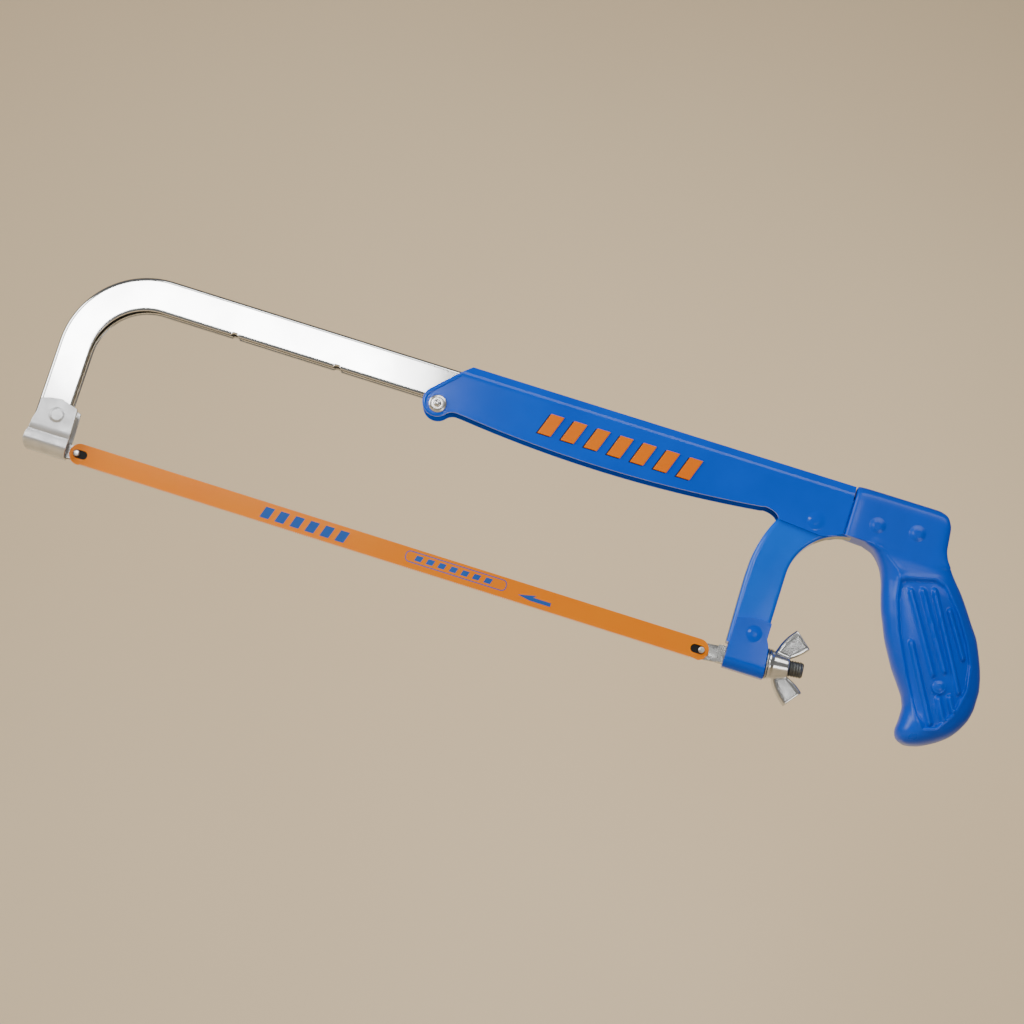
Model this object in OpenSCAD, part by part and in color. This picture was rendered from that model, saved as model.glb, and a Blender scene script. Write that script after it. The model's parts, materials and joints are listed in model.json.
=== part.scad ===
// Adjustable hand hacksaw: folded-channel bow that slides in a painted rear frame, pistol grip,
// flexible blade on two pins, and a wing nut that draws the blade tight.
// Millimetres. +X runs along the blade towards the grip, +Z up, and the user's left side is -Y.
// The origin is the middle of the grip.

/* [Blade] */
// Distance between the centres of the two end slots
blade_span = 300; // [296:1:304]
// Width of the blade, teeth included
blade_w = 10; // [9.5:0.1:12]
// Thickness of the blade
blade_t = 0.65; // [0.6:0.05:0.7]
// Height of the blade's centre line
blade_z = -36.6; // [-36.8:0.1:-36.4]
// Length of each end slot
slot_l = 6.8; // [6.8:0.1:7.2]
// Height of each end slot
slot_w = 4; // [4:0.1:4.4]

/* [Bow] */
// Width of the bow channel across the saw
bow_w = 12; // [11:0.5:12]
// Depth of the bow channel
bow_d = 16; // [15:0.5:17]
// Thickness of the bow's sheet
bow_sheet = 1.2; // [1:0.1:1.5]
// Height of the bow's back
bow_top = 53.4; // [53:0.1:53.6]
// Outer radius of the bow's bend
bend_r = 42; // [38:1:44]
// Distance between the index notches
notch_pitch = 50; // [48:1:50]

/* [Frame] */
// Height of the frame's back
frame_top = 57.2; // [57:0.1:57.6]
// Thickness of the frame's sheet
frame_sheet = 1.4; // [1.2:0.1:1.4]
// Room between each cheek of the frame and the bow
frame_gap = 0.3; // [0.3:0.05:0.5]
// Place of the index rivet along the saw
index_x = -249.6; // [-252:0.1:-248]

/* [Leg] */
// Front face of the rear leg
leg_front = -89.7; // [-90:0.1:-89]
// Rear face of the rear leg
leg_rear = -72.5; // [-73:0.1:-72]
// Underside of the leg's arm where it runs into the grip
arm_low = 33.5; // [33:0.1:34]

/* [Tensioner] */
// Rise of the tension stud towards its wing nut, in degrees
stud_tilt = 6; // [4:0.5:6]
// Outer diameter of the stud's thread
stud_d = 8; // [7:0.5:8]
// Reach of each wing from the stud's axis
wing_reach = 18; // [15:0.5:20]

/* [Grip] */
// Thickness of the grip at its fullest
grip_t = 28; // [26:1:32]
// Thickness of the block that holds the frame
block_t = 19; // [18:0.5:20]

/* [Hidden] */
$fn = 48;

eps = 0.05;                                  // running room between pieces that touch
fit = 0.02;                                  // room between a rivet and its hole
blade_mid = index_x - 1.4;                   // middle of the blade along the saw
slot_front = blade_mid - blade_span / 2;
slot_rear = blade_mid + blade_span / 2;
slot_margin = 5.2;                           // from a slot's centre to the blade's end
pin_r = 1.5;
pin_out = 2.6;                               // how far a pin stands out of its tang
pin_shift = (slot_l - 2 * pin_r) / 2 - 0.1;  // each pin bears on the outer end of its slot
pin_front = slot_front - pin_shift;
pin_rear = slot_rear + pin_shift;
front_bar = 3.3;                             // half the side of the front post's square bar
stud_bar = 4;                                // half the side of the stud's square shank
tang_half = 3.8;                             // half the height of the stud's tang
tang_face = 4;                               // far face of both tangs, from the blade's plane

bow_half = bow_w / 2;
bow_low = bow_top - bow_d;
bow_front = -426.6;                          // outer face of the bow's front leg
bend_x = bow_front + bend_r;
bend_z = bow_top - bend_r;
bow_tail = index_x + 60;                     // rear end of the bow inside the frame
bow_leg_end = -31;                           // lower end of the bow's leg, above the front post
bow_corner = 2.5;

index_pin_r = 2;
index_z = bow_low - index_pin_r - 0.1;       // the rivet just clears the bow's lower edges
notch_r = 2.4;

cheek_in = bow_half + frame_gap;
cheek_out = cheek_in + frame_sheet;
frame_rear = -53.1;
shoulder_z = frame_top - 4.6;                // crease below the frame's back
shoulder_in = 2.3;                           // how far the back is narrower than the cheeks
nose_x = index_x - 0.5;
nose_z = 36.3;
nose_r = 7;
neck_r = 6;                                   // hollow between the nose and the lower edge
neck_x = nose_x + 9.8;
neck_z = nose_z - 8.5;
belly_r = 620;                               // radius of the frame's lower edge
belly_x = -170;
belly_low = 29.9;
cheek_corner = [-82.6, 31.2];                // where the cheek's edge crosses the leg

arm_end = -12;                               // rear end of the leg's arm inside the grip
arm_top = 51;
arm_half = cheek_in - eps;
leg_sheet = 1.4;
front_sweep = 62;                            // radius of the leg's front edge
front_sweep_z = 4;
rear_sweep = 25.5;                           // radius between the leg and its arm
rear_sweep_z = 8;
leg_end = -29.5;                             // lower end of the rear leg, above the stud

socket_sheet = 1.2;
front_corner = 4.5;                          // outer corner radius of the front strap's fold
rear_corner = 5;
front_socket_low = -41.3;
rear_socket_low = -41.2;

stud_seat = 30;                              // along the stud, from its pin to the washer
stud_len = 47.6;
washer_t = 1;
nut_base = stud_seat + eps + washer_t + eps;
nut_len = 9.8;

rivet_r = 2;
front_rivet = [bow_front + 10.4, -22.9];     // places of the rivets, as [x, z]
leg_rivet_at = [-66.8, 36];
rear_rivet = [-78.4, -22.8];
block_rivets = [[-39, 41.7], [-20.5, 43.7]];
grip_rivet_at = [8.7, -21.3];

stripe_w = 6.4;                              // raised bars on the cheeks
stripe_lean = 3.6;
stripe_h = 10.4;
stripe_out = 0.5;                            // how far they stand out
stripe_pitch = 11.2;
stripe_at = [index_x + 48.1, 36.2];
stripe_n = 7;

// Level slices of the grip, from its foot up: height, front edge, rear edge, fullness, squareness.
// Fullness 1 is the grip's own thickness, and squareness 2 is an ellipse.
grip_slices = [
    [-49.8, 0.5, 5, 0.35, 2], [-49, -1.5, 8, 0.55, 2.1], [-47, -3.2, 12.2, 0.75, 2.2],
    [-44, -3.9, 17, 0.88, 2.3], [-40, -3.5, 21.6, 0.95, 2.4], [-35, -3.5, 25, 0.98, 2.4],
    [-30, -5, 27.2, 1, 2.4], [-24, -9, 28.2, 1, 2.4], [-18, -13.4, 28.2, 1, 2.4],
    [-12, -17, 27.2, 1, 2.4], [-6, -20.4, 25.4, 1, 2.4], [0, -23, 23, 0.99, 2.4],
    [6, -25.6, 20.2, 0.97, 2.4], [12, -27.5, 16, 0.94, 2.5], [18, -29.2, 11.8, 0.9, 2.7],
    [24, -31.6, 7.4, 0.84, 3], [28, -34.4, 3.8, 0.78, 3.6], [31, -37.6, 1, 0.72, 5],
    [33.3, -43, -1, 0.68, 8]];
// The block above the grip: height, rear edge, share of the block's thickness, squareness
block_rows = [[33.35, -1, 1, 9], [40, -4.6, 1, 9], [46, -5.4, 1, 9], [51, -6, 0.985, 9],
              [54.4, -7.4, 0.94, 8], [56.6, -9, 0.79, 6], [57.8, -11.5, 0.59, 5]];
block_front = -52.6;
slices = concat(grip_slices, [for (b = block_rows)
    [b[0], block_front, b[1], b[2] * block_t / grip_t, b[3]]]);
ring_n = 18;                                 // steps round each slice

// A flat outline in the X-Z plane, thickened between two Y planes
module slab(y0, y1) {
    translate([0, y1, 0]) rotate([90, 0, 0]) linear_extrude(height = y1 - y0) children();
}

// A profile in the Y-Z plane, drawn out along X between two planes
module run(x0, x1) {
    translate([x0, 0, 0]) rotate([90, 0, 90]) linear_extrude(height = x1 - x0) children();
}

// A round bar or hole along Y at (x, z)
module cross_bar(x, z, r, y0, y1) {
    translate([x, y1, z]) rotate([90, 0, 0]) cylinder(r = r, h = y1 - y0);
}

// Places what is drawn along +X onto the stud's tilted axis, with zero at the blade pin
module on_stud() {
    translate([pin_rear, 0, blade_z]) rotate([0, -stud_tilt, 0]) children();
}

// A point in the X-Z plane, given along the stud and up from its axis
function stud_point(along, up) =
    [pin_rear + along * cos(stud_tilt) - up * sin(stud_tilt),
     blade_z + along * sin(stud_tilt) + up * cos(stud_tilt)];

// Points along a circle from angle a0 to a1
function arc(cx, cy, r, a0, a1, n) =
    [for (i = [0 : n]) let (a = a0 + (a1 - a0) * i / n) [cx + r * cos(a), cy + r * sin(a)]];

// Section of a folded channel, open at y = 0 and closed at y = depth
function channel(half, depth, wall, r) = concat(
    [[-half, 0]], arc(-half + r, depth - r, r, 180, 90, 6), arc(half - r, depth - r, r, 90, 0, 6),
    [[half, 0], [half - wall, 0]], arc(half - r, depth - r, r - wall, 0, 90, 6),
    arc(-half + r, depth - r, r - wall, 90, 180, 6), [[-half + wall, 0]]);

// Section of a strap folded round the end of a leg: two plates joined by a rounded bottom
module strap_section(half, low, high, sheet, r) {
    difference() {
        union() {
            translate([-half, low + r]) square([2 * half, high - low - r]);
            translate([-half + r, low]) square([2 * (half - r), r]);
            for (side = [-1, 1]) translate([side * (half - r), low + r]) circle(r);
        }
        translate([-half + sheet, low + r]) square([2 * (half - sheet), high - low]);
        translate([-half + r, low + sheet]) square([2 * (half - r), r]);
        for (side = [-1, 1]) translate([side * (half - r), low + r]) circle(r - sheet);
    }
}

// The hole for one of the common rivets
module rivet_hole(at) {
    cross_bar(at[0], at[1], rivet_r + fit, -grip_t, grip_t);
}

// A rivet across the saw, with a low domed head on each side
module cross_rivet(at, r, reach, head_r, head_h) {
    cross_bar(at[0], at[1], r, -reach, reach);
    dome_r = (head_r * head_r + head_h * head_h) / (2 * head_h);
    for (side = [-1, 1]) translate([at[0], 0, at[1]]) rotate([-90 * side, 0, 0]) translate([0, 0, reach])
        intersection() {
            translate([0, 0, head_h - dome_r]) sphere(dome_r);
            cylinder(r = head_r, h = head_h);
        }
}

module front_bow() {
    section = channel(bow_half, bow_d, bow_sheet, bow_corner);
    inner_r = bend_r - bow_d;
    color("gainsboro") difference() {
        union() {
            run(bend_x, bow_tail) translate([0, bow_low]) polygon(section);
            translate([bend_x, 0, bend_z]) mirror([1, 0, 0]) rotate([90, 0, 0])
                rotate_extrude(angle = 90) polygon([for (p = section) [inner_r + p[1], p[0]]]);
            translate([bend_x, 0, bow_leg_end]) linear_extrude(height = bend_z - bow_leg_end)
                polygon([for (p = section) [-inner_r - p[1], p[0]]]);
        }
        for (i = [0 : 2]) cross_bar(index_x - i * notch_pitch, bow_low - 0.2, notch_r, -9, 9);
        rivet_hole(front_rivet);
    }
}

module front_socket() {
    half = bow_half + eps + socket_sheet;
    color("silver") difference() {
        intersection() {
            run(-428.2, -407.2)
                strap_section(half, front_socket_low, -10, socket_sheet, front_corner);
            slab(-9, 9) polygon([[-425.6, -17.4], [-421, -15.8], [-416, -15.3], [-408.2, -17.6],
                [-407.3, -29.7], [-407.3, front_socket_low - 1], [-427, front_socket_low - 1],
                [-428.1, -38], [-427.6, -33], [-426.7, -27.6]]);
        }
        rivet_hole(front_rivet);
    }
}

module front_socket_rivet() {
    color("silver") cross_rivet(front_rivet, rivet_r,
        bow_half + eps + socket_sheet + fit, 3.6, 0.5);
}

module front_post() {
    color("silver") difference() {
        union() {
            translate([-427.4, -front_bar, blade_z - front_bar])
                cube([19.4, 2 * front_bar, 2 * front_bar]);
            translate([-408.1, eps, blade_z - front_bar])
                cube([12.6, tang_face - eps, 2 * front_bar]);
        }
        cross_bar(pin_front, blade_z, pin_r + fit, -1, 6);
    }
}

module front_blade_pin() {
    color("whitesmoke") cross_bar(pin_front, blade_z, pin_r, -pin_out, tang_face);
}

module blade() {
    end_r = blade_w / 2;
    front = slot_front - slot_margin;
    rear = slot_rear + slot_margin;
    color("darkorange") slab(-blade_t, 0) difference() {
        union() {
            translate([front + end_r, blade_z - end_r]) square([rear - front - 2 * end_r, blade_w]);
            for (x = [front + end_r, rear - end_r]) translate([x, blade_z]) circle(end_r);
        }
        for (x = [slot_front, slot_rear]) translate([x, blade_z]) {
            square([slot_l - slot_w, slot_w], center = true);
            for (s = [-1, 1]) translate([s * (slot_l - slot_w) / 2, 0]) circle(slot_w / 2);
        }
    }
}

// Side outline of the frame's cheeks: a round nose, a long belly, and a drop over the leg
module cheek_outline() {
    neck_turn = atan2(neck_z - nose_z, neck_x - nose_x);
    belly_from = asin((neck_x - belly_x) / belly_r);
    belly_to = asin((-92.3 - belly_x) / belly_r);
    polygon(concat(
        arc(nose_x, nose_z, nose_r, 135, 360 + neck_turn, 24),
        arc(neck_x, neck_z, neck_r, 180 + neck_turn, 90, 8),
        [for (i = [1 : 20]) let (a = belly_from + (belly_to - belly_from) * i / 20)
            [belly_x + belly_r * sin(a), belly_low + belly_r * (1 - cos(a))]],
        [[-88.1, 34.9], [-84.8, 33], cheek_corner, [-62.5, 29.8], [-57, 31.6], [frame_rear, 33.8],
         [frame_rear, frame_top + 1],
         [nose_x - nose_r * sqrt(0.5) + frame_top + 1 - nose_z - nose_r * sqrt(0.5), frame_top + 1]]));
}

module rear_frame() {
    back = cheek_out - shoulder_in;
    color("royalblue") difference() {
        intersection() {
            run(-260, frame_rear) difference() {
                polygon([[-cheek_out, 20], [-cheek_out, shoulder_z], [-back, frame_top],
                    [back, frame_top], [cheek_out, shoulder_z], [cheek_out, 20]]);
                polygon([[-cheek_in, 19], [-cheek_in, shoulder_z - 0.3],
                    [-back + 1.2, frame_top - frame_sheet], [back - 1.2, frame_top - frame_sheet],
                    [cheek_in, shoulder_z - 0.3], [cheek_in, 19]]);
            }
            slab(-10, 10) cheek_outline();
        }
        cross_bar(index_x, index_z, index_pin_r + fit, -10, 10);
        rivet_hole(leg_rivet_at);
    }
}

// A row of plain slanted bars raised on each cheek
module frame_stripes() {
    color("darkorange") for (side = [0, 1]) for (i = [0 : stripe_n - 1])
        mirror([0, side, 0]) translate([stripe_at[0] + i * stripe_pitch, 0, stripe_at[1]])
            slab(cheek_out, cheek_out + stripe_out) polygon([[0, 0], [stripe_w, 0],
                [stripe_w + stripe_lean, stripe_h], [stripe_lean, stripe_h]]);
}

module index_rivet() {
    color("silver") {
        cross_rivet([index_x, index_z], index_pin_r, cheek_out + fit, 4.25, 1.3);
        for (side = [-1, 1]) cross_bar(index_x, index_z, 1.5, side < 0 ? -cheek_out - 1.75 : cheek_out,
            side < 0 ? -cheek_out : cheek_out + 1.75);
    }
}

// Side outline of the leg and of the arm that carries the grip, drawn in by d all round
module leg_outline(d) {
    difference() {
        intersection() {
            union() {
                translate([leg_front + d, leg_end]) square([60, front_sweep_z - leg_end]);
                translate([leg_front + front_sweep, front_sweep_z]) circle(front_sweep - d, $fn = 180);
                translate([leg_front + front_sweep, front_sweep_z]) square([60, 60]);
            }
            translate([leg_front, leg_end]) square([arm_end - leg_front - d, arm_top - leg_end - d]);
        }
        translate([leg_rear - d, leg_end - 1]) square([80, rear_sweep_z + 1 - leg_end]);
        translate([leg_rear + rear_sweep, rear_sweep_z]) circle(rear_sweep + d, $fn = 90);
        translate([leg_rear + rear_sweep, 0]) square([60, arm_low + d]);
    }
}

module rear_leg() {
    color("dodgerblue") difference() {
        slab(-arm_half, arm_half) leg_outline(0);
        slab(-arm_half + leg_sheet, arm_half - leg_sheet) union() {
            leg_outline(leg_sheet);
            translate([leg_front + leg_sheet, leg_end - 1])
                square([leg_rear - leg_front - 2 * leg_sheet, 3]);
        }
        rivet_hole(leg_rivet_at);
        rivet_hole(rear_rivet);
        for (at = block_rivets) rivet_hole(at);
    }
}

module leg_rivet() {
    color("royalblue") cross_rivet(leg_rivet_at, rivet_r, cheek_out + fit, 3.4, 0.6);
}

module rear_socket() {
    half = arm_half + eps + socket_sheet;
    color("royalblue") difference() {
        intersection() {
            run(-90, -60) strap_section(half, rear_socket_low, -10, socket_sheet, rear_corner);
            slab(-9, 9) polygon([[-88.3, -17.8], [-82.4, -16.2], [-77.1, -15.6], [-72.2, -15.8],
                [-72.1, -23.5], stud_point(stud_seat, 7.6), stud_point(stud_seat, -9), [-88.3, -45]]);
        }
        rivet_hole(rear_rivet);
    }
}

module rear_socket_rivet() {
    color("royalblue") cross_rivet(rear_rivet, rivet_r,
        arm_half + eps + socket_sheet + fit, 3.8, 0.5);
}

module tension_stud() {
    shank_at = 7.4;
    thread_at = stud_seat - 1;
    color("silver") on_stud() difference() {
        union() {
            translate([-4.4, eps, -tang_half]) cube([shank_at + 4.5, tang_face - eps, 2 * tang_half]);
            translate([shank_at, -stud_bar, -stud_bar])
                cube([thread_at - shank_at, 2 * stud_bar, 2 * stud_bar]);
            translate([thread_at - 0.1, 0, 0]) rotate([0, 90, 0])
                cylinder(r = stud_d / 2, h = stud_len - thread_at + 0.1);
        }
        cross_bar(0, 0, pin_r + fit, -1, 6);
    }
}

module rear_blade_pin() {
    color("whitesmoke") on_stud() cross_bar(0, 0, pin_r, -pin_out, tang_face);
}

module thrust_washer() {
    color("silver") on_stud() translate([stud_seat + eps, 0, 0]) rotate([0, 90, 0]) difference() {
        cylinder(r = 7.2, h = washer_t);
        translate([0, 0, -1]) cylinder(r = stud_d / 2 + 0.1, h = washer_t + 2);
    }
}

module wing_nut() {
    color("lightgray") on_stud() translate([nut_base, 0, 0]) difference() {
        union() {
            rotate([0, 90, 0]) rotate_extrude() polygon([[0, 0], [7.2, 0], [7.2, 1], [6.4, 1.9],
                [6.1, 4.6], [5.3, 7.4], [5, nut_len], [0, nut_len]]);
            for (side = [0, 1]) mirror([0, 0, side]) slab(-1.7, 1.7)
                polygon([[1.2, 4.4], [1.4, 6.2], [4.4, 12.6], [11.6, wing_reach], [13, wing_reach - 0.6],
                    [17.6, 10.8], [17.3, 9.6], [10.4, 5.4], [9.4, 4.4]]);
        }
        translate([-1, 0, 0]) rotate([0, 90, 0]) cylinder(r = stud_d / 2 + 0.06, h = nut_len + 2);
    }
}

// One point of a slice: a superellipse, walked from its front edge to its rear edge
function ring_point(s, i, side) =
    let (a = 180 * i / ring_n, mid = (s[1] + s[2]) / 2, half = (s[2] - s[1]) / 2, e = 2 / s[4],
         out = s[3] * grip_t / 2 * pow(abs(sin(a)), e))
    [mid - half * sign(cos(a)) * pow(abs(cos(a)), e), side * (fit + out), s[0]];

// One moulded half of the grip, as a loft through the slices, closed on the parting plane
module grip_half(side) {
    n = ring_n + 1;
    rows = len(slices);
    points = [for (s = slices) for (i = [0 : ring_n]) ring_point(s, i, side)];
    skin = [for (r = [0 : rows - 2]) for (i = [0 : n - 1])
        let (j = (i + 1) % n, low = r * n, high = low + n)
            each [[low + i, high + i, high + j], [low + i, high + j, low + j]]];
    foot = [for (i = [0 : n - 1]) i];
    crown = [for (i = [n - 1 : -1 : 0]) (rows - 1) * n + i];
    faces = concat(skin, [foot], [crown]);
    polyhedron(points, side < 0 ? faces : [for (f = faces) [for (k = [len(f) - 1 : -1 : 0]) f[k]]]);
}

// A grip half with its seat for the arm and its rivet holes
module grip_piece(side) {
    difference() {
        grip_half(side);
        slab(-arm_half - 0.1, arm_half + 0.1) leg_outline(-0.1);
        for (at = block_rivets) rivet_hole(at);
        rivet_hole(grip_rivet_at);
    }
}

module grip_half_left() { color("royalblue") grip_piece(-1); }

module grip_half_right() { color("royalblue") grip_piece(1); }

module grip_rivet() {
    color("royalblue") cross_rivet(grip_rivet_at, rivet_r, grip_t / 2 + eps, 2.4, 0.6);
}

module block_rivet(i) {
    color("royalblue") cross_rivet(block_rivets[i], rivet_r, block_t / 2 + eps, 3.6, 0.8);
}

module block_rivet_front() { block_rivet(0); }

module block_rivet_rear() { block_rivet(1); }

front_bow();
front_socket();
front_socket_rivet();
front_post();
front_blade_pin();
blade();
rear_frame();
frame_stripes();
index_rivet();
rear_leg();
leg_rivet();
rear_socket();
rear_socket_rivet();
grip_half_left();
grip_half_right();
grip_rivet();
block_rivet_front();
block_rivet_rear();
thrust_washer();
tension_stud();
rear_blade_pin();
wing_nut();
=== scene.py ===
"""A hand hacksaw: plated sliding bow, blue enamelled frame, moulded grip, orange blade and wing nut.

Lengths are worked out in millimetres and turned to metres when a mesh is made. Every piece stands in
the saw's own frame: +X along the blade towards the grip, +Z up, and the near side of the saw is -Y.
"""

import json
import logging
import math
from dataclasses import dataclass, field
from enum import Enum
from typing import Callable, Iterable, Sequence

import bmesh
import bpy
import numpy as np
from mathutils import Matrix, Vector


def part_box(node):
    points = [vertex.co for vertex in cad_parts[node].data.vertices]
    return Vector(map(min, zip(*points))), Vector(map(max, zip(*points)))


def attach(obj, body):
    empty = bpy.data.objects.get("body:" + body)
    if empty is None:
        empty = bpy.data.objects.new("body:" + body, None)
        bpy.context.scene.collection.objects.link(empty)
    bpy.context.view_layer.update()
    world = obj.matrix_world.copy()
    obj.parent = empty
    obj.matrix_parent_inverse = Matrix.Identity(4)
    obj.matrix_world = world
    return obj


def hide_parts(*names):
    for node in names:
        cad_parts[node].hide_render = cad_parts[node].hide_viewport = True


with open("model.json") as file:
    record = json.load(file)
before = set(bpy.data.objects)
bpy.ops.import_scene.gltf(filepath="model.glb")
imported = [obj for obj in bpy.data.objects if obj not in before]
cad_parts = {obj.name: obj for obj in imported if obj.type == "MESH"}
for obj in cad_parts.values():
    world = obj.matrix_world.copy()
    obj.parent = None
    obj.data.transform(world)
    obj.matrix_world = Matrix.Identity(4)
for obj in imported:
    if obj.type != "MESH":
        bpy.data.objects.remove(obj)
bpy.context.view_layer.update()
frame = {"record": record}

MM = 0.001
LOG = logging.getLogger("hacksaw")

Point2 = tuple[float, float]
Point3 = tuple[float, float, float]
Place = Callable[[float, float, float], Point3]
Piece = bpy.types.Object
Material = bpy.types.Material
Tree = bpy.types.NodeTree
Node = bpy.types.Node
Socket = bpy.types.NodeSocket

SMOOTH_TO = 38          # edges bent by more degrees than this stay crisp, unless a piece says otherwise
SHANK_RADIUS = 2.0      # every rivet's shank
TANG_FACES = (0.06, 3.97)   # the near and far face of both tangs, from the saw's mid-plane


class Body(Enum):
    """The moving bodies of the saw."""

    FRAME = "frame"
    BOW = "bow"
    BLADE = "blade"
    TENSIONER = "tensioner"
    WING_NUT = "wing_nut"


class Side(Enum):
    """The two sides of the saw, as the sign of Y."""

    NEAR = -1
    FAR = 1


# ---------------------------------------------------------------- colours and finishes

def linear(hex_code: str) -> tuple[float, float, float, float]:
    """Turns an sRGB hex colour to linear RGBA.

    Args:
        hex_code: Six hex digits.

    Returns:
        Linear red, green, blue and alpha.
    """
    parts = [int(hex_code[i:i + 2], 16) / 255 for i in (0, 2, 4)]
    lin = [c / 12.92 if c <= 0.04045 else ((c + 0.055) / 1.055) ** 2.4 for c in parts]
    return (*lin, 1.0)


def add_node(tree: Tree, kind: str, settings: dict | None = None, inputs: dict | None = None) -> Node:
    """Adds one node, sets it up and links it.

    Args:
        tree: The node tree that takes the node.
        kind: Blender's name for the node type.
        settings: Attributes to set on the node.
        inputs: Input name or number to a value, or to the output socket that feeds it.

    Returns:
        The new node.
    """
    node = tree.nodes.new(kind)
    for name, value in (settings or {}).items():
        setattr(node, name, value)
    for name, value in (inputs or {}).items():
        if isinstance(value, Socket):
            tree.links.new(value, node.inputs[name])
        else:
            node.inputs[name].default_value = value
    return node


def new_material(name: str) -> tuple[Material, Tree]:
    """Makes an empty node material.

    Args:
        name: The material's name.

    Returns:
        The material and its node tree.
    """
    material = bpy.data.materials.new(name)
    material.use_nodes = True
    material.node_tree.nodes.clear()
    return material, material.node_tree


def close_material(material: Material, inputs: dict) -> Material:
    """Ends a material with a principled shader.

    Args:
        material: The material.
        inputs: The shader's inputs.

    Returns:
        The finished material.
    """
    shader = add_node(material.node_tree, "ShaderNodeBsdfPrincipled", inputs=inputs)
    add_node(material.node_tree, "ShaderNodeOutputMaterial", inputs={"Surface": shader.outputs[0]})
    return material


def noise(tree: Tree, size_mm: float, stretch: Point3 = (1, 1, 1), detail: float = 3,
          rough: float = 0.5) -> Socket:
    """Adds noise whose features are about a given size.

    Args:
        tree: The material's tree.
        size_mm: Size of one feature.
        stretch: Factor on each axis; below 1 draws the noise out along it.
        detail: Octaves of detail.
        rough: How strong the finer octaves are.

    Returns:
        The noise's factor output.
    """
    place = add_node(tree, "ShaderNodeTexCoord").outputs["Object"]
    scaled = add_node(tree, "ShaderNodeMapping", inputs={"Vector": place, "Scale": stretch}).outputs[0]
    return add_node(tree, "ShaderNodeTexNoise",
                    inputs={"Vector": scaled, "Scale": 1 / (size_mm * MM), "Detail": detail,
                            "Roughness": rough}).outputs["Fac"]


def ramp(tree: Tree, fac: Socket, low: float, high: float, to_low: float, to_high: float) -> Socket:
    """Maps a factor's range low..high to to_low..to_high and returns the output socket."""
    return add_node(tree, "ShaderNodeMapRange", inputs={
        "Value": fac, "From Min": low, "From Max": high, "To Min": to_low, "To Max": to_high}).outputs[0]


def tint(tree: Tree, fac: Socket, first: str, second: str) -> Socket:
    """Blends two colours by a factor.

    Args:
        tree: The material's tree.
        fac: The factor.
        first: Hex colour at 0.
        second: Hex colour at 1.

    Returns:
        The colour.
    """
    blend = add_node(tree, "ShaderNodeMix", {"data_type": "RGBA"}, {0: fac})
    blend.inputs[6].default_value = linear(first)
    blend.inputs[7].default_value = linear(second)
    return blend.outputs[2]


def bump(tree: Tree, height: Socket, depth_mm: float, strength: float) -> Socket:
    """Adds a bump of a given depth and returns the normal socket."""
    return add_node(tree, "ShaderNodeBump", inputs={
        "Height": height, "Distance": depth_mm * MM, "Strength": strength}).outputs[0]


@dataclass(frozen=True)
class PlatedSteel:
    """Steel under a metal plate: a mirror or satin face with handling smudges and a rolled grain."""

    name: str
    colour: str
    worn_colour: str
    roughness: float
    smudge: float
    smudge_mm: float
    grain_mm: float
    grain_depth_mm: float
    grain_along: Point3 = (0.04, 1, 1)

    def build(self) -> Material:
        """Makes the material.

        Returns:
            A metal, with its roughness and colour clouded at the smudges' scale.
        """
        material, tree = new_material(self.name)
        cloud = noise(tree, self.smudge_mm, detail=4, rough=0.55)
        grain = noise(tree, self.grain_mm, self.grain_along, detail=2)
        normal = bump(tree, grain, self.grain_depth_mm, 0.5)
        return close_material(material, {
            "Metallic": 1.0,
            "Base Color": tint(tree, ramp(tree, cloud, 0.35, 0.7, 0, 1), self.colour, self.worn_colour),
            "Roughness": ramp(tree, cloud, 0.3, 0.75, self.roughness, self.roughness + self.smudge),
            "Normal": normal})


@dataclass(frozen=True)
class StovedEnamel:
    """Gloss paint baked on steel: deep even colour, faint orange peel, and a clear wet highlight."""

    name: str
    colour: str
    shade_colour: str
    roughness: float = 0.11
    peel_mm: float = 1.4
    peel_depth_mm: float = 0.008
    shine: float = 0.32

    def build(self) -> Material:
        """Makes the material.

        Returns:
            An alkyd enamel of IOR 1.52 under its own gloss.
        """
        material, tree = new_material(self.name)
        cloud = noise(tree, 22, detail=2)
        peel = noise(tree, self.peel_mm, detail=1)
        dust = noise(tree, 0.5, detail=1)
        normal = bump(tree, peel, self.peel_depth_mm, 0.6)
        return close_material(material, {
            "Base Color": tint(tree, ramp(tree, cloud, 0.3, 0.7, 0, 1), self.colour, self.shade_colour),
            "Roughness": ramp(tree, dust, 0.35, 0.7, self.roughness, self.roughness + 0.05),
            "IOR": 1.52, "Specular IOR Level": self.shine, "Normal": normal})


@dataclass(frozen=True)
class MouldedPolymer:
    """Injection-moulded polypropylene: waxy sheen, a fine spark-eroded texture and slight flow marks."""

    name: str
    colour: str
    shade_colour: str
    roughness: float = 0.27
    texture_mm: float = 0.7
    texture_depth_mm: float = 0.02

    def build(self) -> Material:
        """Makes the material.

        Returns:
            A polymer of IOR 1.49 with a fine moulded texture.
        """
        material, tree = new_material(self.name)
        flow = noise(tree, 18, (1, 1, 0.35), detail=3)
        texture = noise(tree, self.texture_mm, detail=2)
        normal = bump(tree, texture, self.texture_depth_mm, 0.45)
        return close_material(material, {
            "Base Color": tint(tree, ramp(tree, flow, 0.3, 0.7, 0, 1), self.colour, self.shade_colour),
            "Roughness": ramp(tree, flow, 0.3, 0.7, self.roughness, self.roughness + 0.08),
            "IOR": 1.49, "Specular IOR Level": 0.38, "Subsurface Weight": 0.04,
            "Subsurface Radius": (0.002, 0.002, 0.004), "Normal": normal})


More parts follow.
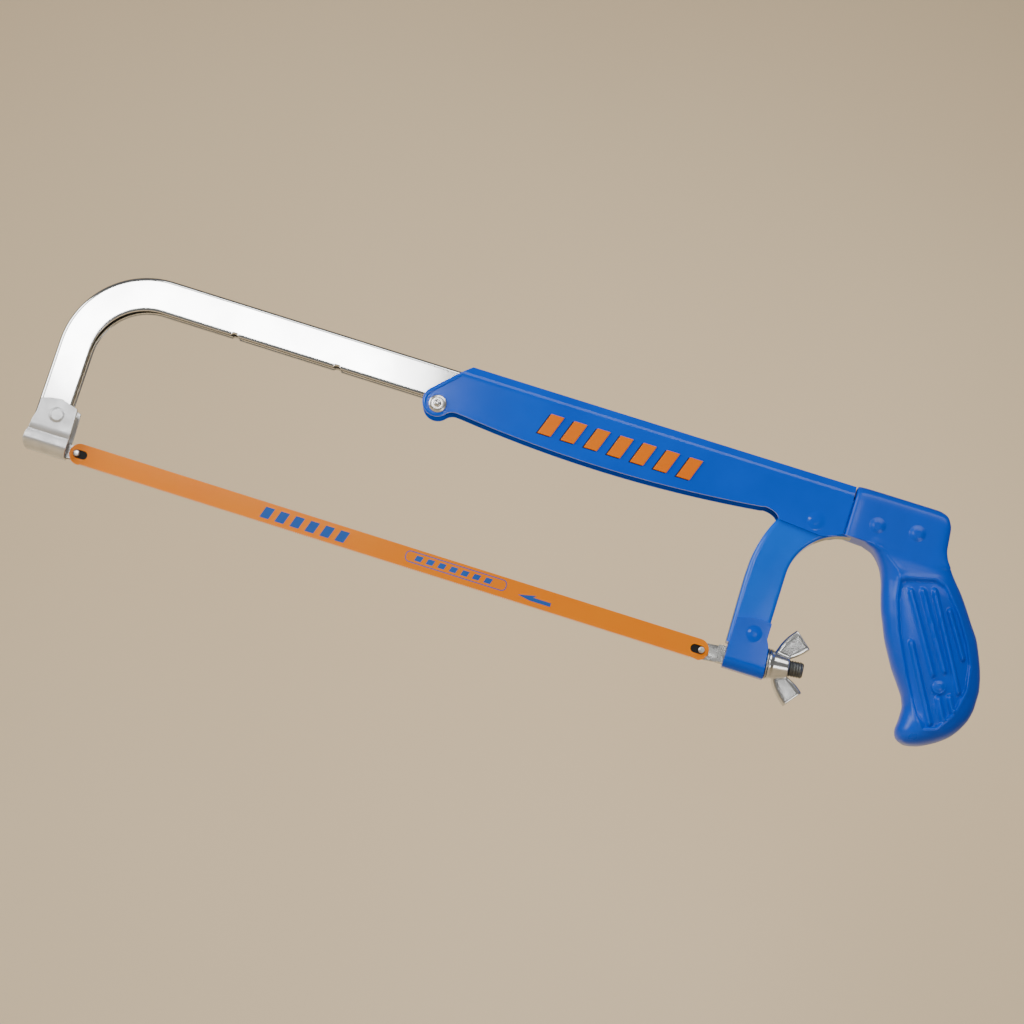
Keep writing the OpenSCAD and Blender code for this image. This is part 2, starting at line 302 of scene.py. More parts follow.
class Finishes:
    """Every finish on the saw, each made once."""

    def __init__(self) -> None:
        """Builds the materials."""
        # Nickel over polished steel: almost white, with soft finger smudges in the mirror.
        self.nickel = PlatedSteel("bright_nickel_plate", "F6F6F5", "EAEAE9", 0.09, 0.07, 26, 0.5,
                                  0.002).build()
        # Nickel on the machine-closed rivet head: bright but tumbled, so its highlight is soft.
        self.rivet = PlatedSteel("tumbled_nickel_rivet", "EDECEA", "D9D8D5", 0.24, 0.06, 3, 0.4,
                                 0.001).build()
        # Nickel over unpolished strip: pale and satin, no clear reflection.
        self.satin = PlatedSteel("satin_nickel_plate", "ECEDEE", "DDDEDF", 0.34, 0.12, 6, 0.35,
                                 0.01, (1, 1, 0.1)).build()
        # Bright zinc on turned and milled bar: grey-white, with cutter marks along the bar.
        self.zinc = PlatedSteel("bright_zinc_plate", "CFCFCD", "A9A9A6", 0.22, 0.14, 3, 0.3, 0.012).build()
        # Die-cast zinc, barrel polished and plated: bright, rounded, with shallow casting ripples.
        self.cast = PlatedSteel("cast_zinc_bright_plate", "F6F6F5", "E6E6E4", 0.17, 0.08, 2.6, 1.6, 0.006,
                                (1, 1, 1)).build()
        # Rolled thread, phosphated and oiled: dark grey.
        self.thread = PlatedSteel("phosphated_thread", "8C8E8C", "737573", 0.38, 0.12, 2, 0.4, 0.01).build()
        # Ground pin steel: pale, slightly dull ends.
        self.pin = PlatedSteel("ground_pin_steel", "EDEDEB", "C9C9C6", 0.26, 0.1, 1.2, 0.25, 0.006).build()
        # Dull grey metal with the mill's rolling lines: bare strip inside the bow's channel, and painted
        # shade on the leg's front-facing edge faces and under its arm.
        self.bare_and_shade = PlatedSteel("bare_strip_and_painted_shade", "B4B4B0", "93938D", 0.36, 0.15, 5, 0.6, 0.012).build()
        # Stoved enamel on the frame and straps: strong mid blue.
        self.blue = StovedEnamel("blue_stoved_enamel", "005CE8", "0056DE").build()
        # The leg's coat: the same enamel in a lighter blue.
        self.blue_leg = StovedEnamel("blue_leg_enamel", "006CF6", "0064EC").build()
        # Polypropylene grip in the frame's blue: softer highlight than the enamel.
        self.grip = MouldedPolymer("blue_moulded_polypropylene", "0058E2", "0050D4").build()
        # Thick pad-printed enamel of the raised bars: orange, glossy, slightly domed.
        self.orange = StovedEnamel("orange_raised_enamel", "FF8400", "FF7E00", roughness=0.14, peel_mm=0.8,
                                   shine=0.25).build()
        # Thin enamel sprayed on the rolled blade strip: flat orange over a faint rolled grain.
        self.blade = StovedEnamel("orange_blade_enamel", "FF8F00", "FF8900", roughness=0.09, peel_mm=0.6,
                                  shine=0.25).build()
        # Blue ink printed on the blade, matt where it has dried.
        self.ink = StovedEnamel("blue_print_ink", "1560C0", "0F55AE", roughness=0.45).build()
        # Near-black matt paint standing for shade: painted shade on the tangs behind the blade's slots, and
        # painted shadow along the raised bars' lower left edges.
        self.black = StovedEnamel("near_black_painted_shade", "0B0B0C", "151516", roughness=0.5).build()


# ---------------------------------------------------------------- mesh work

def box_mm(node: str) -> tuple[Vector, Vector]:
    """Lowest and highest corners of a CAD node, in millimetres."""
    low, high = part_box(node)
    return Vector(low) / MM, Vector(high) / MM


def arc(centre: Point2, radius: float, start: float, end: float, steps: int) -> list[Point2]:
    """Points along a circle from angle start to end, in degrees."""
    turns = [math.radians(start + (end - start) * i / steps) for i in range(steps + 1)]
    return [(centre[0] + radius * math.cos(t), centre[1] + radius * math.sin(t)) for t in turns]


def make_object(name: str, points: Iterable[Sequence[float]], faces: Iterable[Sequence[int]],
                sharp_deg: float = SMOOTH_TO) -> Piece:
    """Makes a mesh object from points in millimetres.

    Args:
        name: The piece's name.
        points: Corners in millimetres.
        faces: Corner numbers of each face.
        sharp_deg: Edges bent by more than this stay crisp.

    Returns:
        The linked object.
    """
    mesh = bpy.data.meshes.new(name)
    mesh.from_pydata([Vector(p) * MM for p in points], [], [list(f) for f in faces])
    mesh.validate()
    obj = bpy.data.objects.new(name, mesh)
    bpy.context.collection.objects.link(obj)
    tidy_normals(obj, sharp_deg)
    return obj


def tidy_normals(obj: Piece, sharp_deg: float = SMOOTH_TO) -> None:
    """Turns every face outwards, shades the mesh smooth and marks its crisp edges.

    Args:
        obj: The piece.
        sharp_deg: Edges bent by more than this stay crisp.
    """
    work = bmesh.new()
    work.from_mesh(obj.data)
    bmesh.ops.recalc_face_normals(work, faces=work.faces)
    work.to_mesh(obj.data)
    work.free()
    obj.data.shade_smooth()
    obj.data.set_sharp_from_angle(angle=math.radians(sharp_deg))


def loft(name: str, rings: Sequence[Sequence[Sequence[float]]], closed: bool = True, caps: bool = True,
         sharp_deg: float = SMOOTH_TO, wrap: bool = False) -> Piece:
    """Skins a row of rings that all have the same number of points.

    Args:
        name: The piece's name.
        rings: Each ring's points in millimetres.
        closed: Whether each ring closes on itself.
        caps: Whether the first and last rings are filled.
        sharp_deg: Edges bent by more than this stay crisp.
        wrap: Whether the last ring joins the first, as in a washer.

    Returns:
        The lofted object.
    """
    count = len(rings[0])
    faces: list[list[int]] = []
    for r in range(len(rings) if wrap else len(rings) - 1):
        this, following = r * count, (r + 1) % len(rings) * count
        for i in range(count if closed else count - 1):
            j = (i + 1) % count
            faces.append([this + i, this + j, following + j, following + i])
    if caps:
        faces.append(list(range(count))[::-1])
        faces.append([(len(rings) - 1) * count + i for i in range(count)])
    return make_object(name, [p for ring in rings for p in ring], faces, sharp_deg)


def lathe(name: str, profile: Sequence[Point2], place: Place, steps: int = 48,
          sharp_deg: float = SMOOTH_TO) -> Piece:
    """Turns a profile about an axis.

    Args:
        name: The piece's name.
        profile: Pairs of distance along the axis and radius; the two ends are filled.
        place: Turns (along, side, up) to a point of the saw.
        steps: Facets round the axis.
        sharp_deg: Edges bent by more than this stay crisp.

    Returns:
        The turned object.
    """
    least = 0.002
    turns = [2 * math.pi * i / steps for i in range(steps)]
    rings = [[place(along, max(radius, least) * math.cos(t), max(radius, least) * math.sin(t)) for t in turns]
             for along, radius in profile]
    return loft(name, rings, sharp_deg=sharp_deg)


def prism(name: str, outline: Sequence[Point2], y0: float, y1: float,
          sharp_deg: float = SMOOTH_TO) -> Piece:
    """Thickens an X-Z outline between two Y planes."""
    return loft(name, [[(x, y, z) for x, z in outline] for y in (y0, y1)], sharp_deg=sharp_deg)


def modify(obj: Piece, kind: str, **settings: object) -> None:
    """Adds a modifier.

    Args:
        obj: The piece.
        kind: Blender's name for the modifier.
        settings: Attributes to set on it.
    """
    modifier = obj.modifiers.new(kind.lower(), kind)
    for name, value in settings.items():
        setattr(modifier, name, value)


def bake(obj: Piece, sharp_deg: float = SMOOTH_TO) -> None:
    """Replaces a piece's mesh with what its modifiers make of it.

    Args:
        obj: The piece.
        sharp_deg: Edges bent by more than this stay crisp.
    """
    graph = bpy.context.evaluated_depsgraph_get()
    graph.update()
    mesh = bpy.data.meshes.new_from_object(obj.evaluated_get(graph))
    obj.modifiers.clear()
    obj.data = mesh
    tidy_normals(obj, sharp_deg)


def settle(obj: Piece) -> None:
    """Lets each flat face keep its own shading, so that only the rounded edges catch the light."""
    modify(obj, "WEIGHTED_NORMAL", mode="FACE_AREA", weight=80, keep_sharp=True)


def cut(obj: Piece, tool: Piece, operation: str) -> None:
    """Applies a boolean.

    Args:
        obj: The piece.
        tool: What cuts it or is added to it; it is used up.
        operation: Blender's name for the operation.
    """
    modify(obj, "BOOLEAN", object=tool, operation=operation, solver="EXACT")
    bake(obj)
    bpy.data.objects.remove(tool)


def soften(obj: Piece, width_mm: float, segments: int = 3, angle: float = 40) -> None:
    """Rounds an object's crisp edges, as a press or a barrel leaves them."""
    modify(obj, "BEVEL", width=width_mm * MM, segments=segments, limit_method="ANGLE",
           angle_limit=math.radians(angle), use_clamp_overlap=True, harden_normals=True)


def along_y(centre: Point2, y0: float, side: Side) -> Place:
    """A lathe placement for what stands out of the saw's side at (x, z)."""
    return lambda a, s, u: (centre[0] + s, side.value * (y0 + a), centre[1] + u)


@dataclass
class Assembly:
    """A group of pieces that ride together, with their body and the finishes they take."""

    body: Body
    finishes: Finishes

    def place(self, obj: Piece, material: Material, slot: str, *nodes: str) -> None:
        """Dresses a piece and fixes it to its body.

        Args:
            obj: The piece.
            material: Its finish.
            slot: The record's material slot that it stands for; not used.
            nodes: CAD nodes that it stands for.
        """
        if not obj.data.materials:
            obj.data.materials.append(material)
        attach(obj, self.body.value)
        if nodes:
            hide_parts(*nodes)
        LOG.info("%s rides on %s", obj.name, self.body.value)

    def fit_rivet(self, node: str, name: str, proud: float, head: Sequence[Point2], material: Material,
                  slot: str) -> None:
        """Sets a rivet where the CAD has it.

        Args:
            node: The CAD node it stands for.
            name: The piece's name.
            proud: How far the heads' seats lie below the node's outer faces.
            head: The heads' profile.
            material: Its finish.
            slot: The record's material slot that it stands for, handed to place, which does not use it.
        """
        low, high = box_mm(node)
        mid = (low + high) / 2
        self.place(rivet(name, (mid.x, mid.z), high.y - proud, head), material, slot, node)


def join_parts(name: str, parts: Sequence[Piece]) -> Piece:
    """Joins several meshes into one object.

    Args:
        name: The joined piece's name.
        parts: Objects to join; all but the first are used up.

    Returns:
        The joined object.
    """
    bpy.ops.object.select_all(action="DESELECT")
    for part in parts:
        part.select_set(True)
    bpy.context.view_layer.objects.active = parts[0]
    bpy.ops.object.join()
    parts[0].name = name
    parts[0].data.name = name
    return parts[0]


def rivet(name: str, centre: Point2, reach: float, profile: Sequence[Point2]) -> Piece:
    """A rivet across the saw with a turned head on both sides.

    Args:
        name: The piece's name.
        centre: Its axis, as (x, z).
        reach: Half the thickness that it holds.
        profile: The head's profile outwards from the seat: height and radius, ending at radius 0.

    Returns:
        The rivet.
    """
    r, sunk, gap = SHANK_RADIUS, 0.6, 0.5
    heads = [lathe(f"{name}_{side.name.lower()}", [(-sunk, 0), (-sunk, r), (0, r), *profile],
                   along_y(centre, reach, side)) for side in Side]
    length = 2 * (reach - gap)
    shank = lathe(f"{name}_shank", [(0, 0), (0, r), (length, r), (length, 0)],
                  along_y(centre, gap - reach, Side.FAR), 24)
    return join_parts(name, [shank, *heads])


def painted_dome(radius: float, height: float, flat: float = 0.25) -> list[Point2]:
    """Profile of a rivet head blended into the plate round it.

    Args:
        radius: The head's own radius; the blend runs a third further out.
        height: How far it stands proud.
        flat: Share of the whole that is level on top.

    Returns:
        The profile as height and radius, ending on the axis.
    """
    wide = radius * 1.35
    reach = np.linspace(0.96, flat, 14)
    slope = [(height * 0.5 * (1 + math.cos(math.pi * (r - flat) / (1 - flat))), wide * r) for r in reach]
    return [(0.0, wide), *slope, (height, 0.0)]


# ---------------------------------------------------------------- bow

@dataclass
class Bow(Assembly):
    """The plated bow: a channel that slides in the frame, with its socket, post and pin."""

    sheet: float = 1.2
    corner: float = 1.8
    bend_radius: float = 42.0
    depth: float = 16.0
    leg_depth: float = 15.2
    lip: float = 0.3
    bend_steps: int = 32
    notch_depth: float = 0.9
    notch_half: float = 1.7
    notch_pitch: float = 50.0
    notches: int = 3
    tang_length: float = 12.6

    def build(self) -> None:
        """Builds every piece that slides with the bow."""
        self.channel()
        self.socket()
        self.fit_rivet("front_socket_rivet", "front_socket_rivet_head", 0.5, painted_dome(2.9, 0.3, 0.6),
                       self.finishes.satin, "satin_plate")
        self.post()
        self.pin()

    def notch(self, x: float, first: float) -> float:
        """Depth of the index notches at a place along the bow.

        Args:
            x: The place.
            first: Where the first notch lies.

        Returns:
            The depth, 0 between notches.
        """
        depth = 0.0
        for i in range(self.notches):
            off = abs(x - (first - i * self.notch_pitch)) / self.notch_half
            depth = max(depth, self.notch_depth * math.sqrt(max(0.0, 1 - off * off)))
        return depth

    def section(self, depth: float, notch: float) -> list[Point2]:
        """The channel's section.

        Args:
            depth: Depth of the channel.
            notch: Depth of the notch here.

        Returns:
            The outline as (across, down from its back).
        """
        half = box_mm("front_bow")[1].y
        hollow = half - self.sheet
        centre = (half - self.corner, self.corner)
        edge = depth - notch
        kept = depth - self.notch_depth - 0.9
        outside = [(-half, edge - self.lip), (-half, kept), (-half, depth * 0.5)]
        outside += [(-x, y) for x, y in arc(centre, self.corner, 0, -90, 8)]
        outside += [(-x, y) for x, y in outside[::-1]]
        inside = [(hollow, edge - self.lip), (hollow, kept)]
        inside += arc(centre, self.corner - self.sheet, 0, -90, 6)
        inside += [(-x, y) for x, y in inside[::-1]]
        ends = [(half - self.lip, edge), (hollow + self.lip, edge)]
        return outside + ends + inside + [(-x, y) for x, y in ends[::-1]]

    def channel(self) -> None:
        """Sweeps the channel along the bow's back, round the bend and down the leg."""
        low, high = box_mm("front_bow")
        first = sum(v.x for v in box_mm("index_rivet")) / 2
        bend = (low.x + self.bend_radius, high.z - self.bend_radius)
        xs = set(np.arange(high.x, bend[0], -8.0).round(3)) | {bend[0]}
        for i in range(self.notches):
            xs |= set((first - i * self.notch_pitch + np.linspace(-1, 1, 17) * self.notch_half).round(3))
        stations = [((x, high.z), (0.0, -1.0), self.depth, self.notch(x, first)) for x in sorted(xs)[::-1]]
        for i in range(1, self.bend_steps + 1):
            turn = math.radians(90 + 90 * i / self.bend_steps)
            out = (math.cos(turn), math.sin(turn))
            spine = (bend[0] + self.bend_radius * out[0], bend[1] + self.bend_radius * out[1])
            depth = self.depth + (self.leg_depth - self.depth) * i / self.bend_steps
            stations.append((spine, (-out[0], -out[1]), depth, 0.0))
        for z in np.linspace(bend[1], low.z, 6)[1:]:
            stations.append(((low.x, z), (1.0, 0.0), self.leg_depth, 0.0))
        rings = [[(spine[0] + inward[0] * b, a, spine[1] + inward[1] * b)
                  for a, b in self.section(deep, notch)] for spine, inward, deep, notch in stations]
        obj = loft("bow_channel", rings, sharp_deg=50)
        settle(obj)
        obj.data.materials.append(self.finishes.nickel)
        obj.data.materials.append(self.finishes.bare_and_shade)
        hollow = (high.y - self.sheet - 0.02) * MM
        for face in obj.data.polygons:
            face.material_index = int(max(abs(obj.data.vertices[v].co.y) for v in face.vertices) < hollow)
        self.place(obj, self.finishes.nickel, "bright_plate", "front_bow")

    def socket(self) -> None:
        """The strap folded over the leg's end and rolled round the post."""
        low, high = box_mm("front_socket")
        strap = Strap(half=high.y, low=low.z, roll=5.2, pinch=0.45, crease=-33.2,
                      top=[(low.x + 2.6, -17.4), (low.x + 7, -15.9), (low.x + 12, -15.3),
                           (high.x - 0.8, -17.7)],
                      left=[(-15, low.x + 2.6), (-24.2, low.x + 2.4), (-27.6, low.x + 1.5),
                            (-31.5, low.x + 1.2), (-34, low.x + 0.4), (-38, low.x), (-40, low.x + 0.9),
                            (-42, low.x + 2.4)],
                      right=[(-15, high.x - 0.6), (-28, high.x), (-42, high.x)])
        obj = strap.build("front_socket_strap")
        self.place(obj, self.finishes.satin, "satin_plate", "front_socket")

    def post(self) -> None:
        """The square post with its flat tang, milled from one bar."""
        low, high = box_mm("front_post")
        mid = (low.z + high.z) / 2
        half = (high.z - low.z) / 2

        def at(a: float, s: float, u: float) -> Point3:
            """Turns a place along, beside and above the post's axis to a point of the saw."""
            return (a, s, mid + u)

        obj = milled_post("front_post_bar", at, low.x, high.x - self.tang_length, high.x, half, half)
        self.place(obj, self.finishes.zinc, "zinc_steel", "front_post")
        # A near-black patch on the tang, seen through the blade's slot, is painted shade.
        slot = box_mm("blade")[0].x + Blade.slot_margin
        self.place(slot_shade_patch("front_tang_painted_shade", at, slot), self.finishes.black, "zinc_steel")

    def pin(self) -> None:
        """The pin that the blade's front slot hooks over."""
        low, high = box_mm("front_blade_pin")
        mid = (low + high) / 2
        obj = blade_pin("front_pin", lambda a, s, u: (mid.x + s, high.y - a, mid.z + u), high.y - low.y)
        self.place(obj, self.finishes.pin, "pin_steel", "front_blade_pin")


def blade_pin(name: str, place: Place, length: float, radius: float = 1.5, nose: float = 0.5) -> Piece:
    """A short pin with a rounded free end.

    Args:
        name: The piece's name.
        place: Turns (along, side, up) to a point of the saw.
        length: Its length, from its fixed end.
        radius: Its radius.
        nose: Radius of its rounded end.

    Returns:
        The pin.
    """
    end = [(length - nose + nose * math.sin(t), radius - nose + nose * math.cos(t))
           for t in np.linspace(0, math.pi / 2, 6)]
    return lathe(name, [(0, 0), (0, radius), *end, (length, 0)], place, 28, 50)


def slot_shade_patch(name: str, place: Place, start: float) -> Piece:
    """A near-black patch of painted shade on a tang behind the blade's slot.

    Args:
        name: The piece's name.
        place: Turns (along, side, up) to a point of the saw.
        start: Where the patch's middle lies along the tang.

    Returns:
        A thin sheet of even thickness.
    """
    wide, high, corner, thick = 8.4, 5.0, 2.4, 0.07
    shape = rounded_box((start, 0), wide, high, corner)
    return loft(name, [[place(a, side, u) for a, u in shape] for side in (0.0, thick)], sharp_deg=30)


def milled_post(name: str, place: Place, start: float, shoulder: float, end: float, bar: float,
                tang_half: float) -> Piece:
    """A square bar, half cut away past its shoulder to leave a flat tang.

    Args:
        name: The piece's name.
        place: Turns (along, side, up) to a point of the saw.
        start: Where the square shank starts.
        shoulder: Where the tang starts.
        end: The tang's end.
        bar: Half the side of the square shank.
        tang_half: Half the height of the tang.

    Returns:
        The bar, with softened edges.
    """
    def slab(label: str, ends: Sequence[float], sides: Sequence[float], half: float) -> Piece:
        """A rectangular length of bar."""
        ring = [(sides[0], -half), (sides[1], -half), (sides[1], half), (sides[0], half)]
        return loft(label, [[place(a, s, u) for s, u in ring] for a in ends], sharp_deg=20)

    shank = slab(name, sorted((start, shoulder)), (-bar, bar), bar)
    reach = math.copysign(0.1, end - shoulder)
    tang = slab(name + "_tang", sorted((shoulder - reach, end)), TANG_FACES, tang_half)
    cut(shank, tang, "UNION")
    soften(shank, 0.45, 2)
    return shank


@dataclass
class Strap:
    """A sheet strap folded round the end of a leg, plain or rolled at its bottom."""

    half: float
    low: float
    roll: float
    pinch: float
    crease: float
    top: list[Point2]
    left: list[Point2]
    right: list[Point2]
    sheet: float = 1.2

    @staticmethod
    def edge(table: list[Point2], at: float) -> float:
        """Reads a table of places and values, straight between its points."""
        keys, values = zip(*sorted(table))
        return float(np.interp(at, keys, values))

    def bottom(self) -> list[Point2]:
        """The section below the crease.

        Returns:
            Points (out, z) from the near plate round to the middle.
        """
        pinched = self.half - self.pinch
        wide = min(self.roll, self.half)
        flat = max(self.half - self.roll, 0)
        centre = self.low + self.roll
        points = [(pinched, self.crease + 1.2), (pinched, self.crease + 0.3),
                  (self.half - self.pinch * 0.3, self.crease - 0.5)]
        return points + [(flat + wide * math.cos(t), centre - self.roll * math.sin(t))
                         for t in np.linspace(0.0, math.pi / 2, 12)]

    def build(self, name: str) -> Piece:
        """Makes the strap as a thickened sheet.

        Args:
            name: The piece's name.

        Returns:
            The strap.
        """
        lower = self.bottom()
        rings = []
        for v in np.linspace(0, 1, 25):
            z_top = self.edge(self.top, self.top[0][0] + (self.top[-1][0] - self.top[0][0]) * v)
            plate = [(self.half, z) for z in np.linspace(z_top, self.crease + 2.4, 9)]
            section = plate + lower
            section = section + [(-y, z) for y, z in section[::-1][1 if lower[-1][0] < 1e-6 else 0:]]
            ring = []
            for y, z in section:
                x0, x1 = self.edge(self.left, z), self.edge(self.right, z)
                ring.append((x0 + (x1 - x0) * v, -y, z))
            rings.append(ring)
        obj = loft(name, rings, closed=False, caps=False, sharp_deg=70)
        modify(obj, "SOLIDIFY", thickness=self.sheet * MM, offset=-1.0, use_even_offset=True)
        bake(obj, 50)
        soften(obj, 0.22, 2, 60)
        settle(obj)
        return obj


# ---------------------------------------------------------------- blade

@dataclass
class Blade(Assembly):
    """The orange blade, with its teeth, slots and print."""

    pitch: float = 25.4 / 24
    tooth: float = 0.75
    set_out: float = 0.16
    wave: float = 8.0
    slot_length: float = 6.8
    slot_height: float = 4.0
    slot_margin: float = 5.2
    print_depth: tuple[float, float] = (-0.02, 0.1)

    def build(self) -> None:
        """Builds the blade and its print."""
        low, high = box_mm("blade")
        self.strip(low, high)
        self.print_marks(low, high)

    def outline(self, low: Vector, high: Vector) -> list[Point2]:
        """The blade's outline: round ends, a straight back and a row of raked teeth below.

        Args:
            low: The blade's lowest corner.
            high: Its highest corner.

        Returns:
            The outline.
        """
        radius = (high.z - low.z) / 2
        mid = (high.z + low.z) / 2
        root = low.z + self.tooth
        points = arc((high.x - radius, mid), radius, -75, 90, 20)
        points += arc((low.x + radius, mid), radius, 90, 255, 20)
        start = low.x + radius + 1.0
        count = int((high.x - radius - 1.0 - start) / self.pitch)
        for x in (start + i * self.pitch for i in range(count)):
            points += [(x, low.z), (x + self.pitch * 0.15, root), (x + self.pitch * 0.4, root)]
        return points

    def slot(self, centre: Point2) -> list[Point2]:
        """The outline of an end slot.

        Args:
            centre: The slot's middle.

        Returns:
            A round-ended outline.
        """
        (x, z), r = centre, self.slot_height / 2
        off = self.slot_length / 2 - r
        return arc((x + off, z), r, -90, 90, 10) + arc((x - off, z), r, 90, 270, 10)

    def strip(self, low: Vector, high: Vector) -> None:
        """Cuts the strip, opens its slots and sets its teeth in a wave.

        Args:
            low: The blade's lowest corner.
            high: Its highest corner.
        """
        obj = prism("saw_blade", self.outline(low, high), low.y + 0.03, high.y - 0.03, 20)
        mid = (high.z + low.z) / 2
        for i, x in enumerate((low.x + self.slot_margin, high.x - self.slot_margin)):
            cut(obj, prism(f"slot_{i}", self.slot((x, mid)), low.y - 2, high.y + 2, 20), "DIFFERENCE")
        reach = (low.z + self.tooth * 0.5) * MM
        for vertex in obj.data.vertices:
            if vertex.co.z < reach:
                swing = math.sin(2 * math.pi * vertex.co.x / (self.wave * MM))
                vertex.co.y += 0.6 * self.set_out * MM * swing
        self.place(obj, self.finishes.blade, "blade_enamel", "blade")

    def print_marks(self, low: Vector, high: Vector) -> None:
        """Prints two plain rows of slanted bars, one of them in an outlined badge, and a cutting arrow.

        Args:
            low: The blade's lowest corner.
            high: Its highest corner.
        """
        y0, y1 = (low.y + depth for depth in self.print_depth)
        mid = (high.z + low.z) / 2
        marks = self.bars((low.x + 93.5, mid + 0.2), 6, 4.3, 5.4, 7.3, 1.7)
        badge = (low.x + 163.5, mid + 1.0)
        wide, tall, line = 49.0, 5.4, 0.4
        centre = (badge[0] + wide / 2, badge[1])
        marks.append(prism("badge", rounded_box(centre, wide, tall, 2.2), y0, y1, 20))
        hole = rounded_box(centre, wide - 2 * line, tall - 2 * line, 1.8)
        cut(marks[-1], prism("badge_hole", hole, y0 - 1, y1 + 1, 20), "DIFFERENCE")
        marks += self.bars((badge[0] + 4.5, badge[1]), 7, 3.2, 2.6, 5.6, 0.8)
        tip, z = low.x + 218.5, mid - 0.9
        arrow = ((0, 0), (8.6, 1.9), (7.4, 0.7), (16.0, 0.7), (16.0, -1.1), (6.0, -1.1))
        marks.append(prism("arrow", [(tip + dx, z + dz) for dx, dz in arrow], y0, y1, 20))
        obj = join_parts("blade_print", marks)
        self.place(obj, self.finishes.ink, "blade_enamel")

    def bars(self, start: Point2, count: int, wide: float, tall: float, pitch: float,
             lean: float) -> list[Piece]:
        """A row of slanted bars on the near face.

        Args:
            start: Lower left of the row, at its middle height.
            count: How many bars.
            wide: Width of one.
            tall: Height of one.
            pitch: Distance from one to the next.
            lean: How far the top leans over the foot.

        Returns:
            The bars.
        """
        y0, y1 = (box_mm("blade")[0].y + depth for depth in self.print_depth)
        foot, head = start[1] - tall / 2, start[1] + tall / 2
        shapes = [slanted(start[0] + i * pitch, foot, head, wide, lean) for i in range(count)]
        return [prism(f"bar_{start[0]:.0f}_{i}", shape, y0, y1, 20) for i, shape in enumerate(shapes)]


def slanted(x: float, foot: float, head: float, wide: float, lean: float) -> list[Point2]:
    """Outline of a bar from foot to head that starts at x and leans over by a given amount."""
    return [(x, foot), (x + wide, foot), (x + wide + lean, head), (x + lean, head)]


def rounded_box(centre: Point2, wide: float, high: float, radius: float) -> list[Point2]:
    """Outline of a rectangle with rounded corners.

    Args:
        centre: Its middle.
        wide: Its width.
        high: Its height.
        radius: Radius of its corners.

    Returns:
        The outline.
    """
    x, z = wide / 2 - radius, high / 2 - radius
    corners = [((x, -z), -90), ((x, z), 0), ((-x, z), 90), ((-x, -z), 180)]
    return [p for (cx, cz), a in corners for p in arc((centre[0] + cx, centre[1] + cz), radius, a, a + 90, 6)]


# ---------------------------------------------------------------- frame

